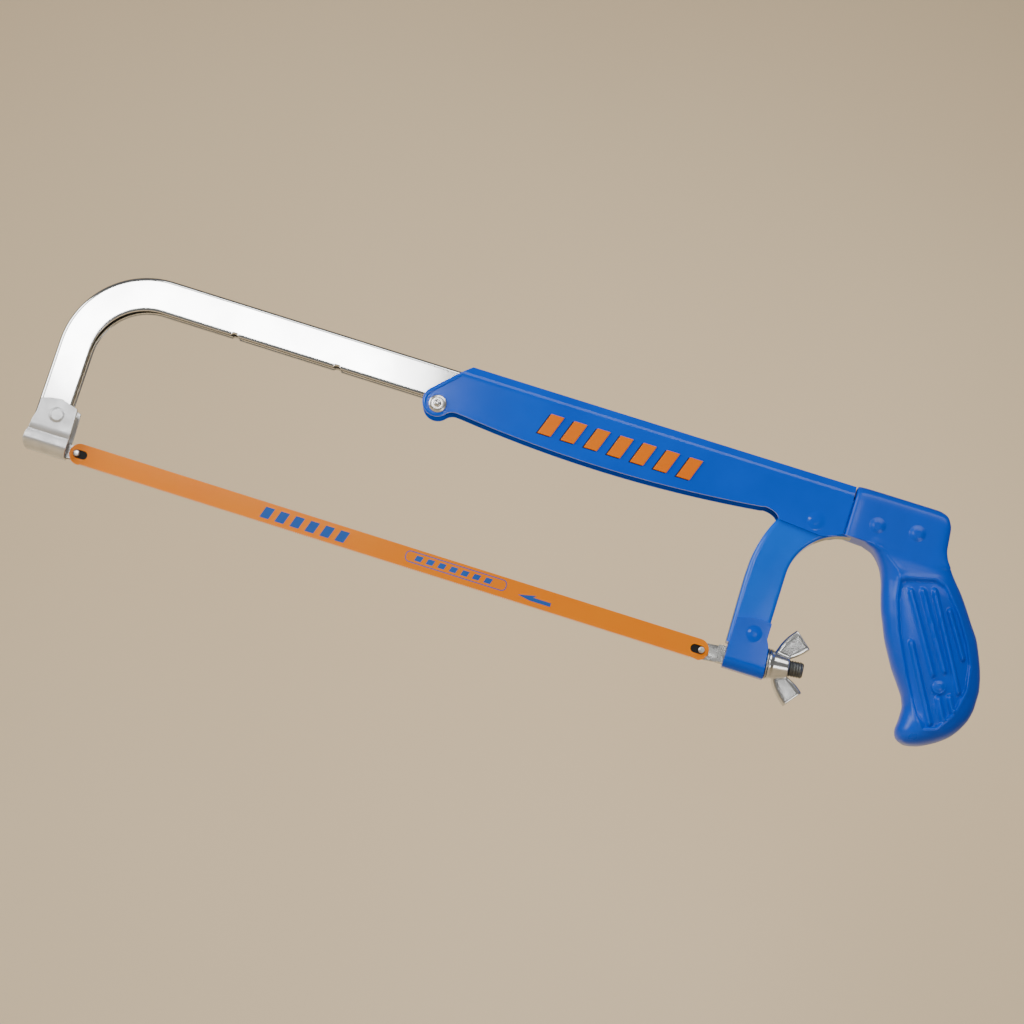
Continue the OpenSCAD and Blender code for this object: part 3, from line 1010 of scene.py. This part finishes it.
@dataclass
class RearFrame(Assembly):
    """The blue frame, its leg, straps, rivets and raised bars."""

    sheet: float = 1.4
    shoulder: float = 4.6
    lean: float = 2.3
    nose_radius: float = 7.0
    neck_radius: float = 6.0
    belly_radius: float = 620.0
    belly_x: float = -170.0
    belly_end: float = -92.3
    edge_roll: float = 0.55
    leg_wide: float = 17.2
    ramp: float = math.sqrt(0.5)

    def build(self) -> None:
        """Builds the frame's own pieces."""
        self.cheeks()
        self.bars()
        self.leg()
        self.rear_socket()
        self.rivets()

    def outline(self) -> list[Point2]:
        """The cheeks' outline: a round nose, a long belly and a drop over the leg.

        Returns:
            The outline, open above the back of the channel.
        """
        low, high = box_mm("rear_frame")
        nose = (low.x + self.nose_radius, low.z + self.nose_radius)
        neck = (nose[0] + 9.8, nose[1] - 8.5)
        turn = math.degrees(math.atan2(neck[1] - nose[1], neck[0] - nose[0]))
        belly_low = low.z + 0.6
        r = self.belly_radius
        first, last = (math.asin((x - self.belly_x) / r) for x in (neck[0], self.belly_end))
        lift = self.nose_radius * self.ramp
        above = high.z + 1
        points = arc(nose, self.nose_radius, 135, 360 + turn, 40)
        points += arc(neck, self.neck_radius, 180 + turn, 90, 12)
        points += [(self.belly_x + r * math.sin(a), belly_low + r * (1 - math.cos(a)))
                   for a in np.linspace(first, last, 40)[1:]]
        points += [(-91 + 7.6 * math.sin(t), 31 + 4.2 * math.cos(t)) for t in np.linspace(0, 1.45, 14)]
        points += [(-62.5, 29.8), (-57, 31.6), (high.x, 33.8), (high.x, above)]
        return points + [(nose[0] - lift + above - nose[1] - lift, above)]

    def cheeks(self) -> None:
        """Folds the channel with its shoulders and trims it to the outline."""
        low, high = box_mm("rear_frame")
        half = high.y
        crease = high.z - self.shoulder
        back = half - self.lean

        def fold(out: float, shoulder_z: float, back_y: float, top: float, low_z: float) -> list[Point2]:
            """Half of the section, from its open edge to its back.

            Args:
                out: Distance of the cheek from the mid-plane.
                shoulder_z: Height of the crease.
                back_y: Where the back's corner lies.
                top: Height of the back.
                low_z: Height of the open edge.

            Returns:
                Points (out, z).
            """
            bend = arc((out - 7.0, shoulder_z - 1.6), 7.0, 0, 24, 6)
            corner = arc((back_y - 1.3, top - 1.3), 1.3, 32, 90, 5)
            return [(out, low_z), *bend, *corner]

        outer = fold(half, crease, back, high.z, low.z - 5)
        inner = fold(half - self.sheet, crease - 0.3, back - 1.2, high.z - self.sheet, low.z - 5)
        section = [(-y, z) for y, z in outer] + outer[::-1] + inner + [(-y, z) for y, z in inner[::-1]]
        rings = [[(x, y, z) for y, z in section] for x in (low.x - 6, high.x)]
        obj = loft("frame_channel", rings, sharp_deg=20)
        cut(obj, prism("frame_outline", self.outline(), -half - 4, half + 4, 20), "INTERSECT")
        soften(obj, self.edge_roll, 3, 50)
        rims = [self.rim(side, half) for side in Side]
        bake(obj, 30)
        obj = join_parts("frame_channel", [obj, *rims])
        settle(obj)
        self.place(obj, self.finishes.blue, "blue_frame", "rear_frame")

    def rim(self, side: Side, half: float) -> Piece:
        """The rolled rim that runs down the ramp and round the nose, standing a little proud.

        Args:
            side: Which cheek.
            half: Distance of the cheeks' outer faces from the mid-plane.

        Returns:
            The rim, tapered at both ends.
        """
        low, high = box_mm("rear_frame")
        inset, wide, proud, sunk = 1.05, 1.0, 0.42, 0.15
        nose = (low.x + self.nose_radius, low.z + self.nose_radius)
        lift = (self.nose_radius - inset) * self.ramp
        climb = high.z - self.shoulder - 0.5 - nose[1] - lift
        path = [(nose[0] - lift + climb * t, nose[1] + lift + climb * t) for t in np.linspace(1, 0, 14)]
        path += arc(nose, self.nose_radius - inset, 135, 318, 40)[1:]
        rings = []
        for i, (x, z) in enumerate(path):
            before, after = path[max(i - 1, 0)], path[min(i + 1, len(path) - 1)]
            way = Vector((after[0] - before[0], after[1] - before[1])).normalized()
            fade = min(1.0, i / 3, (len(path) - 1 - i) / 8) ** 0.5
            ring = [(x - way.y * wide * math.cos(t),
                     side.value * (half - sunk + (proud + sunk) * fade * math.sin(t)),
                     z + way.x * wide * math.cos(t)) for t in np.linspace(0, math.pi, 9)]
            rings.append(ring + [(x + way.y * wide * 0.5, side.value * (half - 0.4), z - way.x * wide * 0.5)])
        return loft(f"rim_{side.name.lower()}", rings, sharp_deg=60)

    def bars(self) -> None:
        """The raised bars on both cheeks, each with a softened top and a painted shadow under it."""
        low, high = box_mm("frame_stripes")
        seat = box_mm("rear_frame")[1].y
        lean, count, wide = 3.6, 7, 6.4
        pitch = (high.x - low.x - wide - lean) / (count - 1)
        bars, edges = [], []
        for side in Side:
            for i in range(count):
                shape = slanted(low.x + i * pitch, low.z, high.z, wide, lean)
                y0, y1, y2 = (side.value * y for y in (seat - 0.1, seat + 0.12, high.y))
                bar = prism(f"bar_{side.name}_{i}", shape, *sorted((y0, y2)), 20)
                soften(bar, 0.22, 2)
                bake(bar, 30)
                bars.append(bar)
                # A near-black plate under each bar, offset down and to the left, is painted shadow of the
                # bar's side walls.
                under = [(px - 0.7, pz - 0.35) for px, pz in shape]
                edges.append(prism(f"edge_{side.name}_{i}", under, *sorted((y0, y1)), 20))
        obj = join_parts("raised_bars", bars)
        self.place(obj, self.finishes.orange, "orange_stripes", "frame_stripes")
        obj = join_parts("bar_painted_shadows", edges)
        self.place(obj, self.finishes.black, "orange_stripes")

    def leg_stations(self, low: Vector, high: Vector) -> list[tuple[Point2, Point2]]:
        """Where the leg's inner and outer edges lie, from its foot to the end of its arm.

        Args:
            low: The leg's lowest corner.
            high: Its highest corner.

        Returns:
            Pairs of a point on the inner edge and one on the outer edge.
        """
        rear = low.x + self.leg_wide
        sweep, inner = 62.0, 25.5
        hub = (rear + inner, 8.0)
        outer_hub = (low.x + sweep, 4.0)
        stations: list[tuple[Point2, Point2]] = [((rear, z), (low.x, z)) for z in np.linspace(low.z, 2.0, 14)]
        for turn in np.radians(np.linspace(2, 90, 34)):
            way = (-math.cos(turn), math.sin(turn))
            off = (hub[0] - outer_hub[0], hub[1] - outer_hub[1])
            along = off[0] * way[0] + off[1] * way[1]
            reach = -along + math.sqrt(along * along - off[0] ** 2 - off[1] ** 2 + sweep * sweep)
            reach = min(reach, (high.z - hub[1]) / max(way[1], 1e-6))
            stations.append(((hub[0] + inner * way[0], hub[1] + inner * way[1]),
                             (hub[0] + reach * way[0], hub[1] + reach * way[1])))
        arm_low = hub[1] + inner
        return stations + [((x, arm_low), (x, high.z)) for x in np.linspace(hub[0] + 3, high.x, 5)]

    def leg(self) -> None:
        """The leg: a folded tube that sweeps up into the frame and back into the grip."""
        low, high = box_mm("rear_leg")
        half, corner = high.y, 1.6
        rings = []
        for i, (back, face) in enumerate(self.leg_stations(low, high)):
            length = math.dist(back, face)
            way = ((face[0] - back[0]) / length, (face[1] - back[1]) / length)
            crown = 1.7 * math.sin(math.pi * min(1.0, i / 36))
            ring = []
            for across, along in rounded_box((length / 2, 0), length, 2 * half, corner):
                at_edge = max(0.0, (across - length + corner) / corner)
                at = across + crown * max(0.0, 1 - (along / half) ** 2) * at_edge
                ring.append((back[0] + way[0] * at, along, back[1] + way[1] * at))
            rings.append(ring)
        obj = loft("leg_tube", rings, sharp_deg=40)
        settle(obj)
        obj.data.materials.append(self.finishes.blue_leg)
        obj.data.materials.append(self.finishes.bare_and_shade)
        # The leg's front-facing edge faces and the arm's underside take the dull grey: painted shade on the
        # blue tube.
        for face in obj.data.polygons:
            edge_on = abs(face.normal.y) < 0.35
            arm_under = face.normal.z < -0.6 and face.center.x > (low.x + self.leg_wide + 8) * MM
            face.material_index = int(edge_on and (face.normal.x < -0.4 or arm_under))
        self.place(obj, self.finishes.blue_leg, "blue_leg", "rear_leg")

    def rear_socket(self) -> None:
        """The strap folded over the leg's end and under the stud."""
        low, high = box_mm("rear_socket")
        strap = Strap(half=high.y, low=low.z, roll=5.0, pinch=0.0, crease=-33.5,
                      top=[(low.x, -17.8), (low.x + 6, -16.2), (low.x + 11.2, -15.6), (low.x + 16.2, -15.9)],
                      left=[(-15, low.x), (-42, low.x)],
                      right=[(-15, low.x + 16.3), (-23.5, low.x + 16.3), (-26, low.x + 17.6),
                             (-28.6, high.x - 1.4), (-42, high.x)])
        obj = strap.build("rear_socket_strap")
        self.place(obj, self.finishes.blue, "blue_frame", "rear_socket")

    def rivets(self) -> None:
        """The index rivet and the painted rivets of the leg and its strap."""
        low, high = box_mm("index_rivet")
        radius = (high.x - low.x) / 2
        seat = box_mm("rear_frame")[1].y + 0.02
        collar, roll = 0.35, 2.2
        brim = [(collar + 0.85 * math.sin(t), radius - roll + roll * math.cos(t) ** 1.2)
                for t in np.linspace(0.1, 1.25, 7)]
        head = [(0.0, radius), (collar, radius), *brim, (1.1, 1.75), (1.45, 1.55), (1.7, 1.1), (1.75, 0.0)]
        self.fit_rivet("index_rivet", "index_rivet_nickel", high.y - seat, head, self.finishes.rivet,
                       "nickel_rivet")
        for node, name, radius, proud in (("leg_rivet", "leg_rivet_head", 3.6, 0.6),
                                          ("rear_socket_rivet", "rear_socket_rivet_head", 3.0, 0.5)):
            self.fit_rivet(node, name, proud, painted_dome(radius, 0.6 * proud), self.finishes.blue,
                           "blue_frame")


# ---------------------------------------------------------------- grip

@dataclass(frozen=True)
class Slice:
    """One level slice of the grip."""

    height: float
    front: float
    rear: float
    half: float
    square: float


@dataclass
class Grip(Assembly):
    """The pistol grip: two moulded halves with a ribbed panel on each side, and their rivets."""

    half: float = 14.0
    block_x: float = -52.6
    neck_x: float = -22.0
    ring: int = 150
    step: float = 0.62
    recess: float = 1.5
    rib: float = 1.9
    rib_half: float = 1.7
    ridge: tuple[Point2, ...] = ((-37.6, 34.8), (-32.1, 30.2), (-24.5, 25.3), (-21.4, 20.0))
    panel: tuple[Point2, ...] = ((-21.6, 20.6), (-19.5, 22.0), (-6.0, 25.6), (-1.2, 24.2), (8.2, 13.5),
                                 (15.4, 2.0), (19.6, -7.2), (21.2, -18.6), (18.8, -30.4), (13.0, -39.6),
                                 (7.6, -41.4), (2.6, -36.4), (-6.6, -20.0), (-15.6, -2.0), (-20.4, 12.0))
    ribs: tuple[tuple[Point2, Point2], ...] = (
        ((-15.9, 17.3), (4.5, -16.7)), ((-10.7, 19.2), (9.2, -13.6)), ((-5.4, 20.6), (18.2, -21.0)),
        ((3.9, 13.6), (15.8, -5.3)), ((-9.0, -5.5), (9.6, -38.6)), ((10.2, -26.6), (14.9, -34.7)),
        ((14.9, -24.4), (18.0, -29.8)))

    def build(self) -> None:
        """Builds both halves and the grip's rivets."""
        for side, node in ((Side.NEAR, "grip_half_left"), (Side.FAR, "grip_half_right")):
            obj = self.shell(side, node)
            self.place(obj, self.finishes.grip, "blue_grip", node)
        for node, radius, height in (("grip_rivet", 2.4, 0.7), ("block_rivet_front", 3.6, 0.9),
                                     ("block_rivet_rear", 3.6, 0.9)):
            self.fit_rivet(node, node + "_head", height, painted_dome(radius, height), self.finishes.grip,
                           "blue_grip")

    def slices(self) -> list[Slice]:
        """The grip's driving slices from its foot up, with the block on top.

        Returns:
            Slices through the foot, the palm swell, the neck and the block.
        """
        rows = ((-49.8, 0.5, 5, 0.35, 2), (-49, -1.5, 8, 0.55, 2.1), (-47, -3.2, 12.2, 0.75, 2.2),
                (-44, -3.9, 17, 0.88, 2.3), (-40, -3.5, 21.6, 0.95, 2.4), (-35, -3.5, 25, 0.98, 2.4),
                (-30, -5, 27.2, 1, 2.4), (-24, -9, 28.2, 1, 2.4), (-18, -13.4, 28.2, 1, 2.4),
                (-12, -17, 27.2, 1, 2.4), (-6, -20.4, 25.4, 1, 2.4), (0, -23, 23, 0.99, 2.4),
                (6, -25.6, 20.2, 0.97, 2.4), (12, -27.5, 16, 0.94, 2.5), (18, -29.2, 11.8, 0.9, 2.7),
                (24, -31.6, 7.4, 0.84, 3), (28, -34.4, 3.8, 0.775, 3.6), (31, -37.6, 1, 0.735, 5),
                (33.2, -43, -1, 0.722, 9))
        block = ((33.6, self.block_x, -1, 0.72, 9), (37, self.block_x, -3.3, 0.703, 9),
                 (41, self.block_x, -4.8, 0.688, 9), (46, self.block_x, -5.4, 0.68, 9),
                 (51, self.block_x, -6, 0.67, 9), (54.4, self.block_x, -7.4, 0.64, 8),
                 (56.6, self.block_x, -9, 0.54, 6), (57.8, self.block_x + 0.4, -11.5, 0.4, 5))
        return [Slice(*row) for row in rows + block]

    def smooth_slices(self) -> list[Slice]:
        """Driving slices joined by a smooth curve, the ledge under the block kept.

        Returns:
            The same shape in fine slices.
        """
        drive = self.slices()
        split = next(i for i, s in enumerate(drive) if s.front == self.block_x)
        fine: list[Slice] = []
        for part in (drive[:split], drive[split:]):
            heights = np.array([s.height for s in part])
            count = max(8, int((heights[-1] - heights[0]) / self.step))
            ease = (1 - np.cos(np.linspace(0, math.pi, count))) / 2
            even = np.linspace(0, 1, count)
            levels = heights[0] + (heights[-1] - heights[0]) * (0.65 * even + 0.35 * ease)
            columns = [smooth_through(heights, np.array([getattr(s, key) for s in part]), levels)
                       for key in ("front", "rear", "half", "square")]
            fine += [Slice(float(z), *(float(c[i]) for c in columns)) for i, z in enumerate(levels)]
        return fine

    def shell(self, side: Side, node: str) -> Piece:
        """Moulds one half: the loft, its sunk panel and the ribs that stand in it.

        Args:
            side: Which half.
            node: The CAD node it stands for.

        Returns:
            The moulded half.
        """
        rows = self.smooth_slices()
        turns = np.linspace(0, math.pi, self.ring)
        grid = np.zeros((len(rows), self.ring, 3))
        for r, s in enumerate(rows):
            centre = float(np.interp(s.height, (20, 33), ((s.front + s.rear) / 2, self.neck_x)))
            half = np.where(np.cos(turns) > 0, centre - s.front, s.rear - centre)
            power = 2 / s.square
            grid[r, :, 0] = centre - half * np.sign(np.cos(turns)) * np.abs(np.cos(turns)) ** power
            grid[r, :, 1] = s.half * self.half * np.abs(np.sin(turns)) ** power
            grid[r, :, 2] = s.height
        grid[:, :, 1] += self.relief(grid[:, :, 0], grid[:, :, 2])
        grid[:, :, 1] = side.value * np.maximum(grid[:, :, 1], 0.03)
        return loft(node + "_moulding", grid.tolist(), sharp_deg=52)

    def relief(self, x: np.ndarray, z: np.ndarray) -> np.ndarray:
        """Height of the panel and its ribs over the plain grip.

        Args:
            x: Places along the saw.
            z: Heights.

        Returns:
            Offsets outwards, in millimetres.
        """
        inside = np.zeros_like(x, dtype=bool)
        far = 1e6
        gap = np.full_like(x, far)
        corners = self.panel
        for (x0, z0), (x1, z1) in zip(corners, corners[1:] + corners[:1]):
            crosses = ((z0 > z) != (z1 > z)) & (x < (x1 - x0) * (z - z0) / (z1 - z0 + 1e-9) + x0)
            inside ^= crosses
            gap = np.minimum(gap, segment_distance(x, z, (x0, z0), (x1, z1)))
        signed = np.where(inside, gap, -gap)
        sunk = smooth_step((signed + 0.5) / 1.5)
        rim = np.exp(-((signed + 1.1) / 0.9) ** 2)
        ribs = np.zeros_like(x)
        for start, end in self.ribs:
            away = segment_distance(x, z, start, end)
            ribs = np.maximum(ribs, smooth_step((self.rib_half - away) / (0.8 * self.rib_half)))
        fold = np.full_like(x, far)
        for start, end in zip(self.ridge, self.ridge[1:]):
            fold = np.minimum(fold, segment_distance(x, z, start, end))
        return -self.recess * sunk + 0.3 * rim + self.rib * ribs + 0.35 * np.exp(-(fold / 1.6) ** 2)


def smooth_through(keys: np.ndarray, values: np.ndarray, at: np.ndarray) -> np.ndarray:
    """Monotone cubic interpolation, so a curve through the keys never overshoots.

    Args:
        keys: Where the values are known, rising.
        values: The known values.
        at: Where to read the curve.

    Returns:
        The curve's values.
    """
    step = np.diff(keys)
    slope = np.diff(values) / step
    tangent = np.zeros_like(values, dtype=float)
    tangent[0], tangent[-1] = slope[0], slope[-1]
    same = slope[:-1] * slope[1:] > 0
    tangent[1:-1][same] = (2 * slope[:-1] * slope[1:] / (slope[:-1] + slope[1:] + 1e-12))[same]
    index = np.clip(np.searchsorted(keys, at) - 1, 0, len(step) - 1)
    t = (at - keys[index]) / step[index]
    h = step[index]
    return ((2 * t ** 3 - 3 * t ** 2 + 1) * values[index] + (t ** 3 - 2 * t ** 2 + t) * h * tangent[index]
            + (-2 * t ** 3 + 3 * t ** 2) * values[index + 1] + (t ** 3 - t ** 2) * h * tangent[index + 1])


def smooth_step(t: np.ndarray) -> np.ndarray:
    """Eases 0 to 1 as t goes from 0 to 1."""
    t = np.clip(t, 0, 1)
    return t * t * (3 - 2 * t)


def segment_distance(x: np.ndarray, z: np.ndarray, start: Point2, end: Point2) -> np.ndarray:
    """Distance of each point from a straight segment.

    Args:
        x: Places along the saw.
        z: Heights.
        start: The segment's start.
        end: Its end.

    Returns:
        The distances.
    """
    dx, dz = end[0] - start[0], end[1] - start[1]
    t = np.clip(((x - start[0]) * dx + (z - start[1]) * dz) / (dx * dx + dz * dz), 0, 1)
    return np.hypot(x - start[0] - t * dx, z - start[1] - t * dz)


# ---------------------------------------------------------------- tensioner

class StudAxis:
    """The tilted axis that the stud, the washer and the wing nut share."""

    def __init__(self) -> None:
        """Reads the axis from the wing nut's joint."""
        joint = next(j for j in frame["record"]["behaviour"]["joints"] if j["name"] == "wing_nut_spin")
        self.origin = Vector(joint["pos_m"]) / MM
        self.along = Vector(joint["axis"]).normalized()
        self.up = Vector((-self.along.z, 0, self.along.x))

    def at(self, along: float, side: float, up: float) -> Point3:
        """Turns a place along, beside and above the axis to a point of the saw."""
        return tuple(self.origin + self.along * along + Vector((0, side, 0)) + self.up * up)


@dataclass
class Tensioner(Assembly):
    """The tension stud, its blade pin, and the thread that the wing nut runs on."""

    shank_at: float = 7.4
    thread_at: float = 29.0
    end: float = 47.6
    radius: float = 4.0
    pitch: float = 1.25
    depth: float = 0.62
    chamfer: float = 1.0
    bar: float = 3.98
    tang_half: float = 3.8
    tang_end: float = -4.4
    slot_at: float = -1.8
    pin_seat: float = 4.0
    pin_length: float = 6.6

    def build(self) -> None:
        """Builds the stud and its pin."""
        axis = StudAxis()
        bar = milled_post("tension_stud_bar", axis.at, self.thread_at + 0.2, self.shank_at, self.tang_end,
                          self.bar, self.tang_half)
        bake(bar, 30)
        bar.data.materials.append(self.finishes.zinc)
        thread = self.thread(axis)
        thread.data.materials.append(self.finishes.thread)
        stud = join_parts("tension_stud_bar", [bar, thread])
        self.place(stud, self.finishes.zinc, "zinc_steel", "tension_stud")
        # A near-black patch on the tang, seen through the blade's slot, is painted shade.
        patch = slot_shade_patch("rear_tang_painted_shade", axis.at, self.slot_at)
        self.place(patch, self.finishes.black, "zinc_steel")
        pin = blade_pin("rear_pin", lambda a, s, u: axis.at(s, self.pin_seat - a, u), self.pin_length)
        self.place(pin, self.finishes.pin, "pin_steel", "rear_blade_pin")

    def thread(self, axis: StudAxis) -> Piece:
        """Cuts the thread as a helix of the nominal pitch, with a chamfered end.

        Args:
            axis: The stud's axis.

        Returns:
            The threaded length.
        """
        steps, rows = 40, int((self.end - self.thread_at) / self.pitch * 10)
        rings = []
        for r in range(rows + 1):
            along = self.thread_at + (self.end - self.thread_at) * r / rows
            ring = []
            for i in range(steps):
                turn = 2 * math.pi * i / steps
                phase = (along / self.pitch - i / steps) % 1.0
                cut_in = self.depth * abs(2 * phase - 1) ** 0.8
                chamfer = max(0.0, along - (self.end - self.chamfer))
                radius = min(self.radius - cut_in, self.radius - chamfer)
                ring.append(axis.at(along, radius * math.cos(turn), radius * math.sin(turn)))
            rings.append(ring)
        return loft("stud_thread", rings, sharp_deg=60)


@dataclass
class WingNut(Assembly):
    """The cast wing nut."""

    base: float = 31.1
    length: float = 9.8
    flange: float = 7.2
    reach: float = 18.0
    bore: float = 4.06
    round_off: float = 0.55
    dish: float = 0.28
    voxel: float = 0.22

    def build(self) -> None:
        """Casts the hub and wings as one smooth piece."""
        axis = StudAxis()
        profile = [(0.0, 0.0), (0.0, self.flange), (0.9, self.flange), (1.5, 6.9), (2.4, 6.3), (4.6, 6.0),
                   (7.0, 5.5), (self.length - 0.8, 5.2), (self.length, 4.9), (self.length, 0.0)]

        def at(a: float, side: float, u: float) -> Point3:
            """Turns a place along, beside and above the nut's base to a point of the saw."""
            return axis.at(self.base + a, side, u)

        hub = lathe("wing_nut_casting", profile, at, 64)
        wings = [self.wing(axis, sign) for sign in (-1, 1)]
        obj = join_parts("wing_nut_casting", [hub, *wings])
        modify(obj, "REMESH", mode="VOXEL", voxel_size=self.voxel * MM, adaptivity=0.0)
        modify(obj, "CORRECTIVE_SMOOTH", factor=0.6, iterations=14, use_only_smooth=True)
        bake(obj, 80)
        drill = [(-3, 0), (-3, self.bore), (self.length + 4, self.bore), (self.length + 4, 0)]
        cut(obj, lathe("nut_bore", drill, at), "DIFFERENCE")
        self.place(obj, self.finishes.cast, "cast_zinc", "wing_nut")

    def wing(self, axis: StudAxis, sign: int) -> Piece:
        """One wing: a blade that leans back from the flange and flares to a dished, square tip.

        Args:
            axis: The stud's axis.
            sign: Which way it stands from the hub.

        Returns:
            The wing's mesh.
        """
        root_low, root_high = (1.6, 4.0), (9.4, 4.0)
        tip_low, tip_high = (10.4, self.reach), (17.9, self.reach - 7.8)
        rings = []
        for t in np.linspace(0, 1, 22):
            bow = math.sin(math.pi * t)
            low = (root_low[0] + (tip_low[0] - root_low[0]) * t - 0.9 * bow,
                   root_low[1] + (tip_low[1] - root_low[1]) * t + 0.9 * bow)
            high = (root_high[0] + (tip_high[0] - root_high[0]) * t + 0.3 * bow,
                    root_high[1] + (tip_high[1] - root_high[1]) * t - 0.6 * bow)
            thick = 2.5 - 0.3 * t
            ring = []
            for k in range(28):
                turn = 2 * math.pi * k / 28
                across = 0.5 - 0.5 * math.copysign(abs(math.cos(turn)) ** self.round_off, math.cos(turn))
                dish = self.dish * math.sqrt(t) * (1 - (2 * across - 1) ** 2)
                side = math.copysign(abs(math.sin(turn)) ** self.round_off, math.sin(turn)) * (thick - dish)
                a = low[0] + (high[0] - low[0]) * across
                u = low[1] + (high[1] - low[1]) * across
                ring.append(axis.at(self.base + a, side, sign * u))
            rings.append(ring)
        return loft(f"wing_{sign + 1}", rings, sharp_deg=60)


@dataclass
class Washer(Assembly):
    """The thin washer between the strap and the wing nut."""

    seat: float = 30.05
    thick: float = 1.0
    radius: float = 7.2
    bore: float = 4.1

    def build(self) -> None:
        """Turns the washer with a rounded rim."""
        axis = StudAxis()
        rim = [(self.thick / 2 - 0.5 * math.cos(t) * self.thick, self.radius - 0.35 * (1 - math.sin(t)))
               for t in np.linspace(0, math.pi, 9)]
        profile = [(0.0, self.bore), *rim, (self.thick, self.bore)]
        rings = [[axis.at(self.seat + a, r * math.cos(t), r * math.sin(t)) for a, r in profile]
                 for t in np.linspace(0, 2 * math.pi, 65)[:-1]]
        obj = loft("seat_washer", rings, caps=False, wrap=True)
        self.place(obj, self.finishes.zinc, "zinc_steel", "thrust_washer")


# ---------------------------------------------------------------- studio

@dataclass
class Studio:
    """The floor, the soft lights and the camera."""

    focal_mm: float = 121.4
    distance: float = 1.6
    below_deg: float = 8.0
    roll_deg: float = 17.6
    target: Vector = field(default_factory=lambda: Vector((-0.2018, 0.0, -0.0016)))
    floor_z: float = -0.45

    def build(self) -> None:
        """Sets the studio up round the saw."""
        self.camera()
        self.floor()
        self.lights()
        self.world()

    def camera(self) -> None:
        """Places the camera below the saw's middle, rolled so that the saw slopes down to its grip."""
        roll, pitch = math.radians(self.roll_deg), math.radians(self.below_deg)
        down = Vector((math.sin(roll), 0, -math.cos(roll)))
        back = Vector((0, -math.cos(pitch), 0)) + down * math.sin(pitch)
        up = -down - back * (-down).dot(back)
        up.normalize()
        right = up.cross(back)
        data = bpy.data.cameras.new("studio_camera")
        data.lens = self.focal_mm
        data.clip_start = 0.01      # metres
        camera = bpy.data.objects.new("studio_camera", data)
        camera.location = self.target + back * self.distance
        camera.rotation_euler = Matrix((right, up, back)).transposed().to_euler()
        bpy.context.collection.objects.link(camera)
        bpy.context.scene.camera = camera

    def floor(self) -> None:
        """A plain pale sheet that lies well below the saw and sweeps up behind it."""
        bend = 0.6
        flat = 1.7
        path = [(-2.6, 0.0), (flat, 0.0)]
        path += [(flat + bend * math.sin(t), bend * (1 - math.cos(t)))
                 for t in np.linspace(0, math.pi / 2, 17)[1:]]
        path += [(flat + bend, 3.0)]
        rings = [[(x / MM, y / MM, (self.floor_z + z) / MM) for y, z in path] for x in (-3.2, 2.8)]
        obj = loft("studio_sweep", rings, closed=False, caps=False, sharp_deg=80)
        material, tree = new_material("pale_sweep_paper")
        cloud = noise(tree, 400, detail=1)
        obj.data.materials.append(close_material(material, {
            "Base Color": tint(tree, cloud, "E2CDAA", "DAC5A2"), "Roughness": 0.8}))

    def lights(self) -> None:
        """Soft boxes: one that the plated bow mirrors, one overhead, one low fill and one on the sweep."""
        for name, place, aim, size, power in (
                ("bow_softbox", (-0.5175, -1.14, 0.21), (-0.33, 0, 0.02), (0.325, 0.16), 2.2),
                ("nut_softbox", (0.017, -1.14, 0.09), (-0.06, 0, -0.036), (0.062, 0.09), 0.16),
                ("upper_key", (-0.1, -0.9, 1.0), (-0.2, 0, 0), (1.2, 0.6), 7.5),
                ("low_fill", (0.5, -1.0, -0.35), (-0.1, 0, 0), (0.5, 0.4), 2.2),
                ("side_softbox", (-1.15, -0.4, 0.15), (-0.15, 0, 0), (0.5, 0.7), 6.5),
                ("sweep_light", (-0.2, 0.9, 0.7), (-0.2, 1.9, -0.4), (2.0, 0.4), 24.0)):
            data = bpy.data.lights.new(name, "AREA")
            data.shape = "RECTANGLE"
            data.size, data.size_y = size
            data.energy = power
            light = bpy.data.objects.new(name, data)
            light.location = place
            light.visible_camera = False
            light.rotation_euler = (Vector(place) - Vector(aim)).to_track_quat("Z", "Y").to_euler()
            bpy.context.collection.objects.link(light)

    def world(self) -> None:
        """A dim pale surround, so that enamel keeps its colour and plated edges fall to grey."""
        world = bpy.data.worlds.new("studio_surround")
        world.use_nodes = True
        tree = world.node_tree
        tree.nodes.clear()
        background = add_node(tree, "ShaderNodeBackground",
                              inputs={"Color": linear("F1EFEC"), "Strength": 0.15})
        add_node(tree, "ShaderNodeOutputWorld", inputs={"Surface": background.outputs[0]})
        bpy.context.scene.world = world


def main() -> None:
    """Builds the saw and its studio in order."""
    logging.basicConfig(level=logging.INFO, format="%(message)s")
    studio = Studio()
    studio.build()
    finishes = Finishes()
    for part in (RearFrame(Body.FRAME, finishes), Grip(Body.FRAME, finishes), Washer(Body.FRAME, finishes),
                 Bow(Body.BOW, finishes), Blade(Body.BLADE, finishes),
                 Tensioner(Body.TENSIONER, finishes), WingNut(Body.WING_NUT, finishes)):
        part.build()


if __name__ == "__main__":
    main()
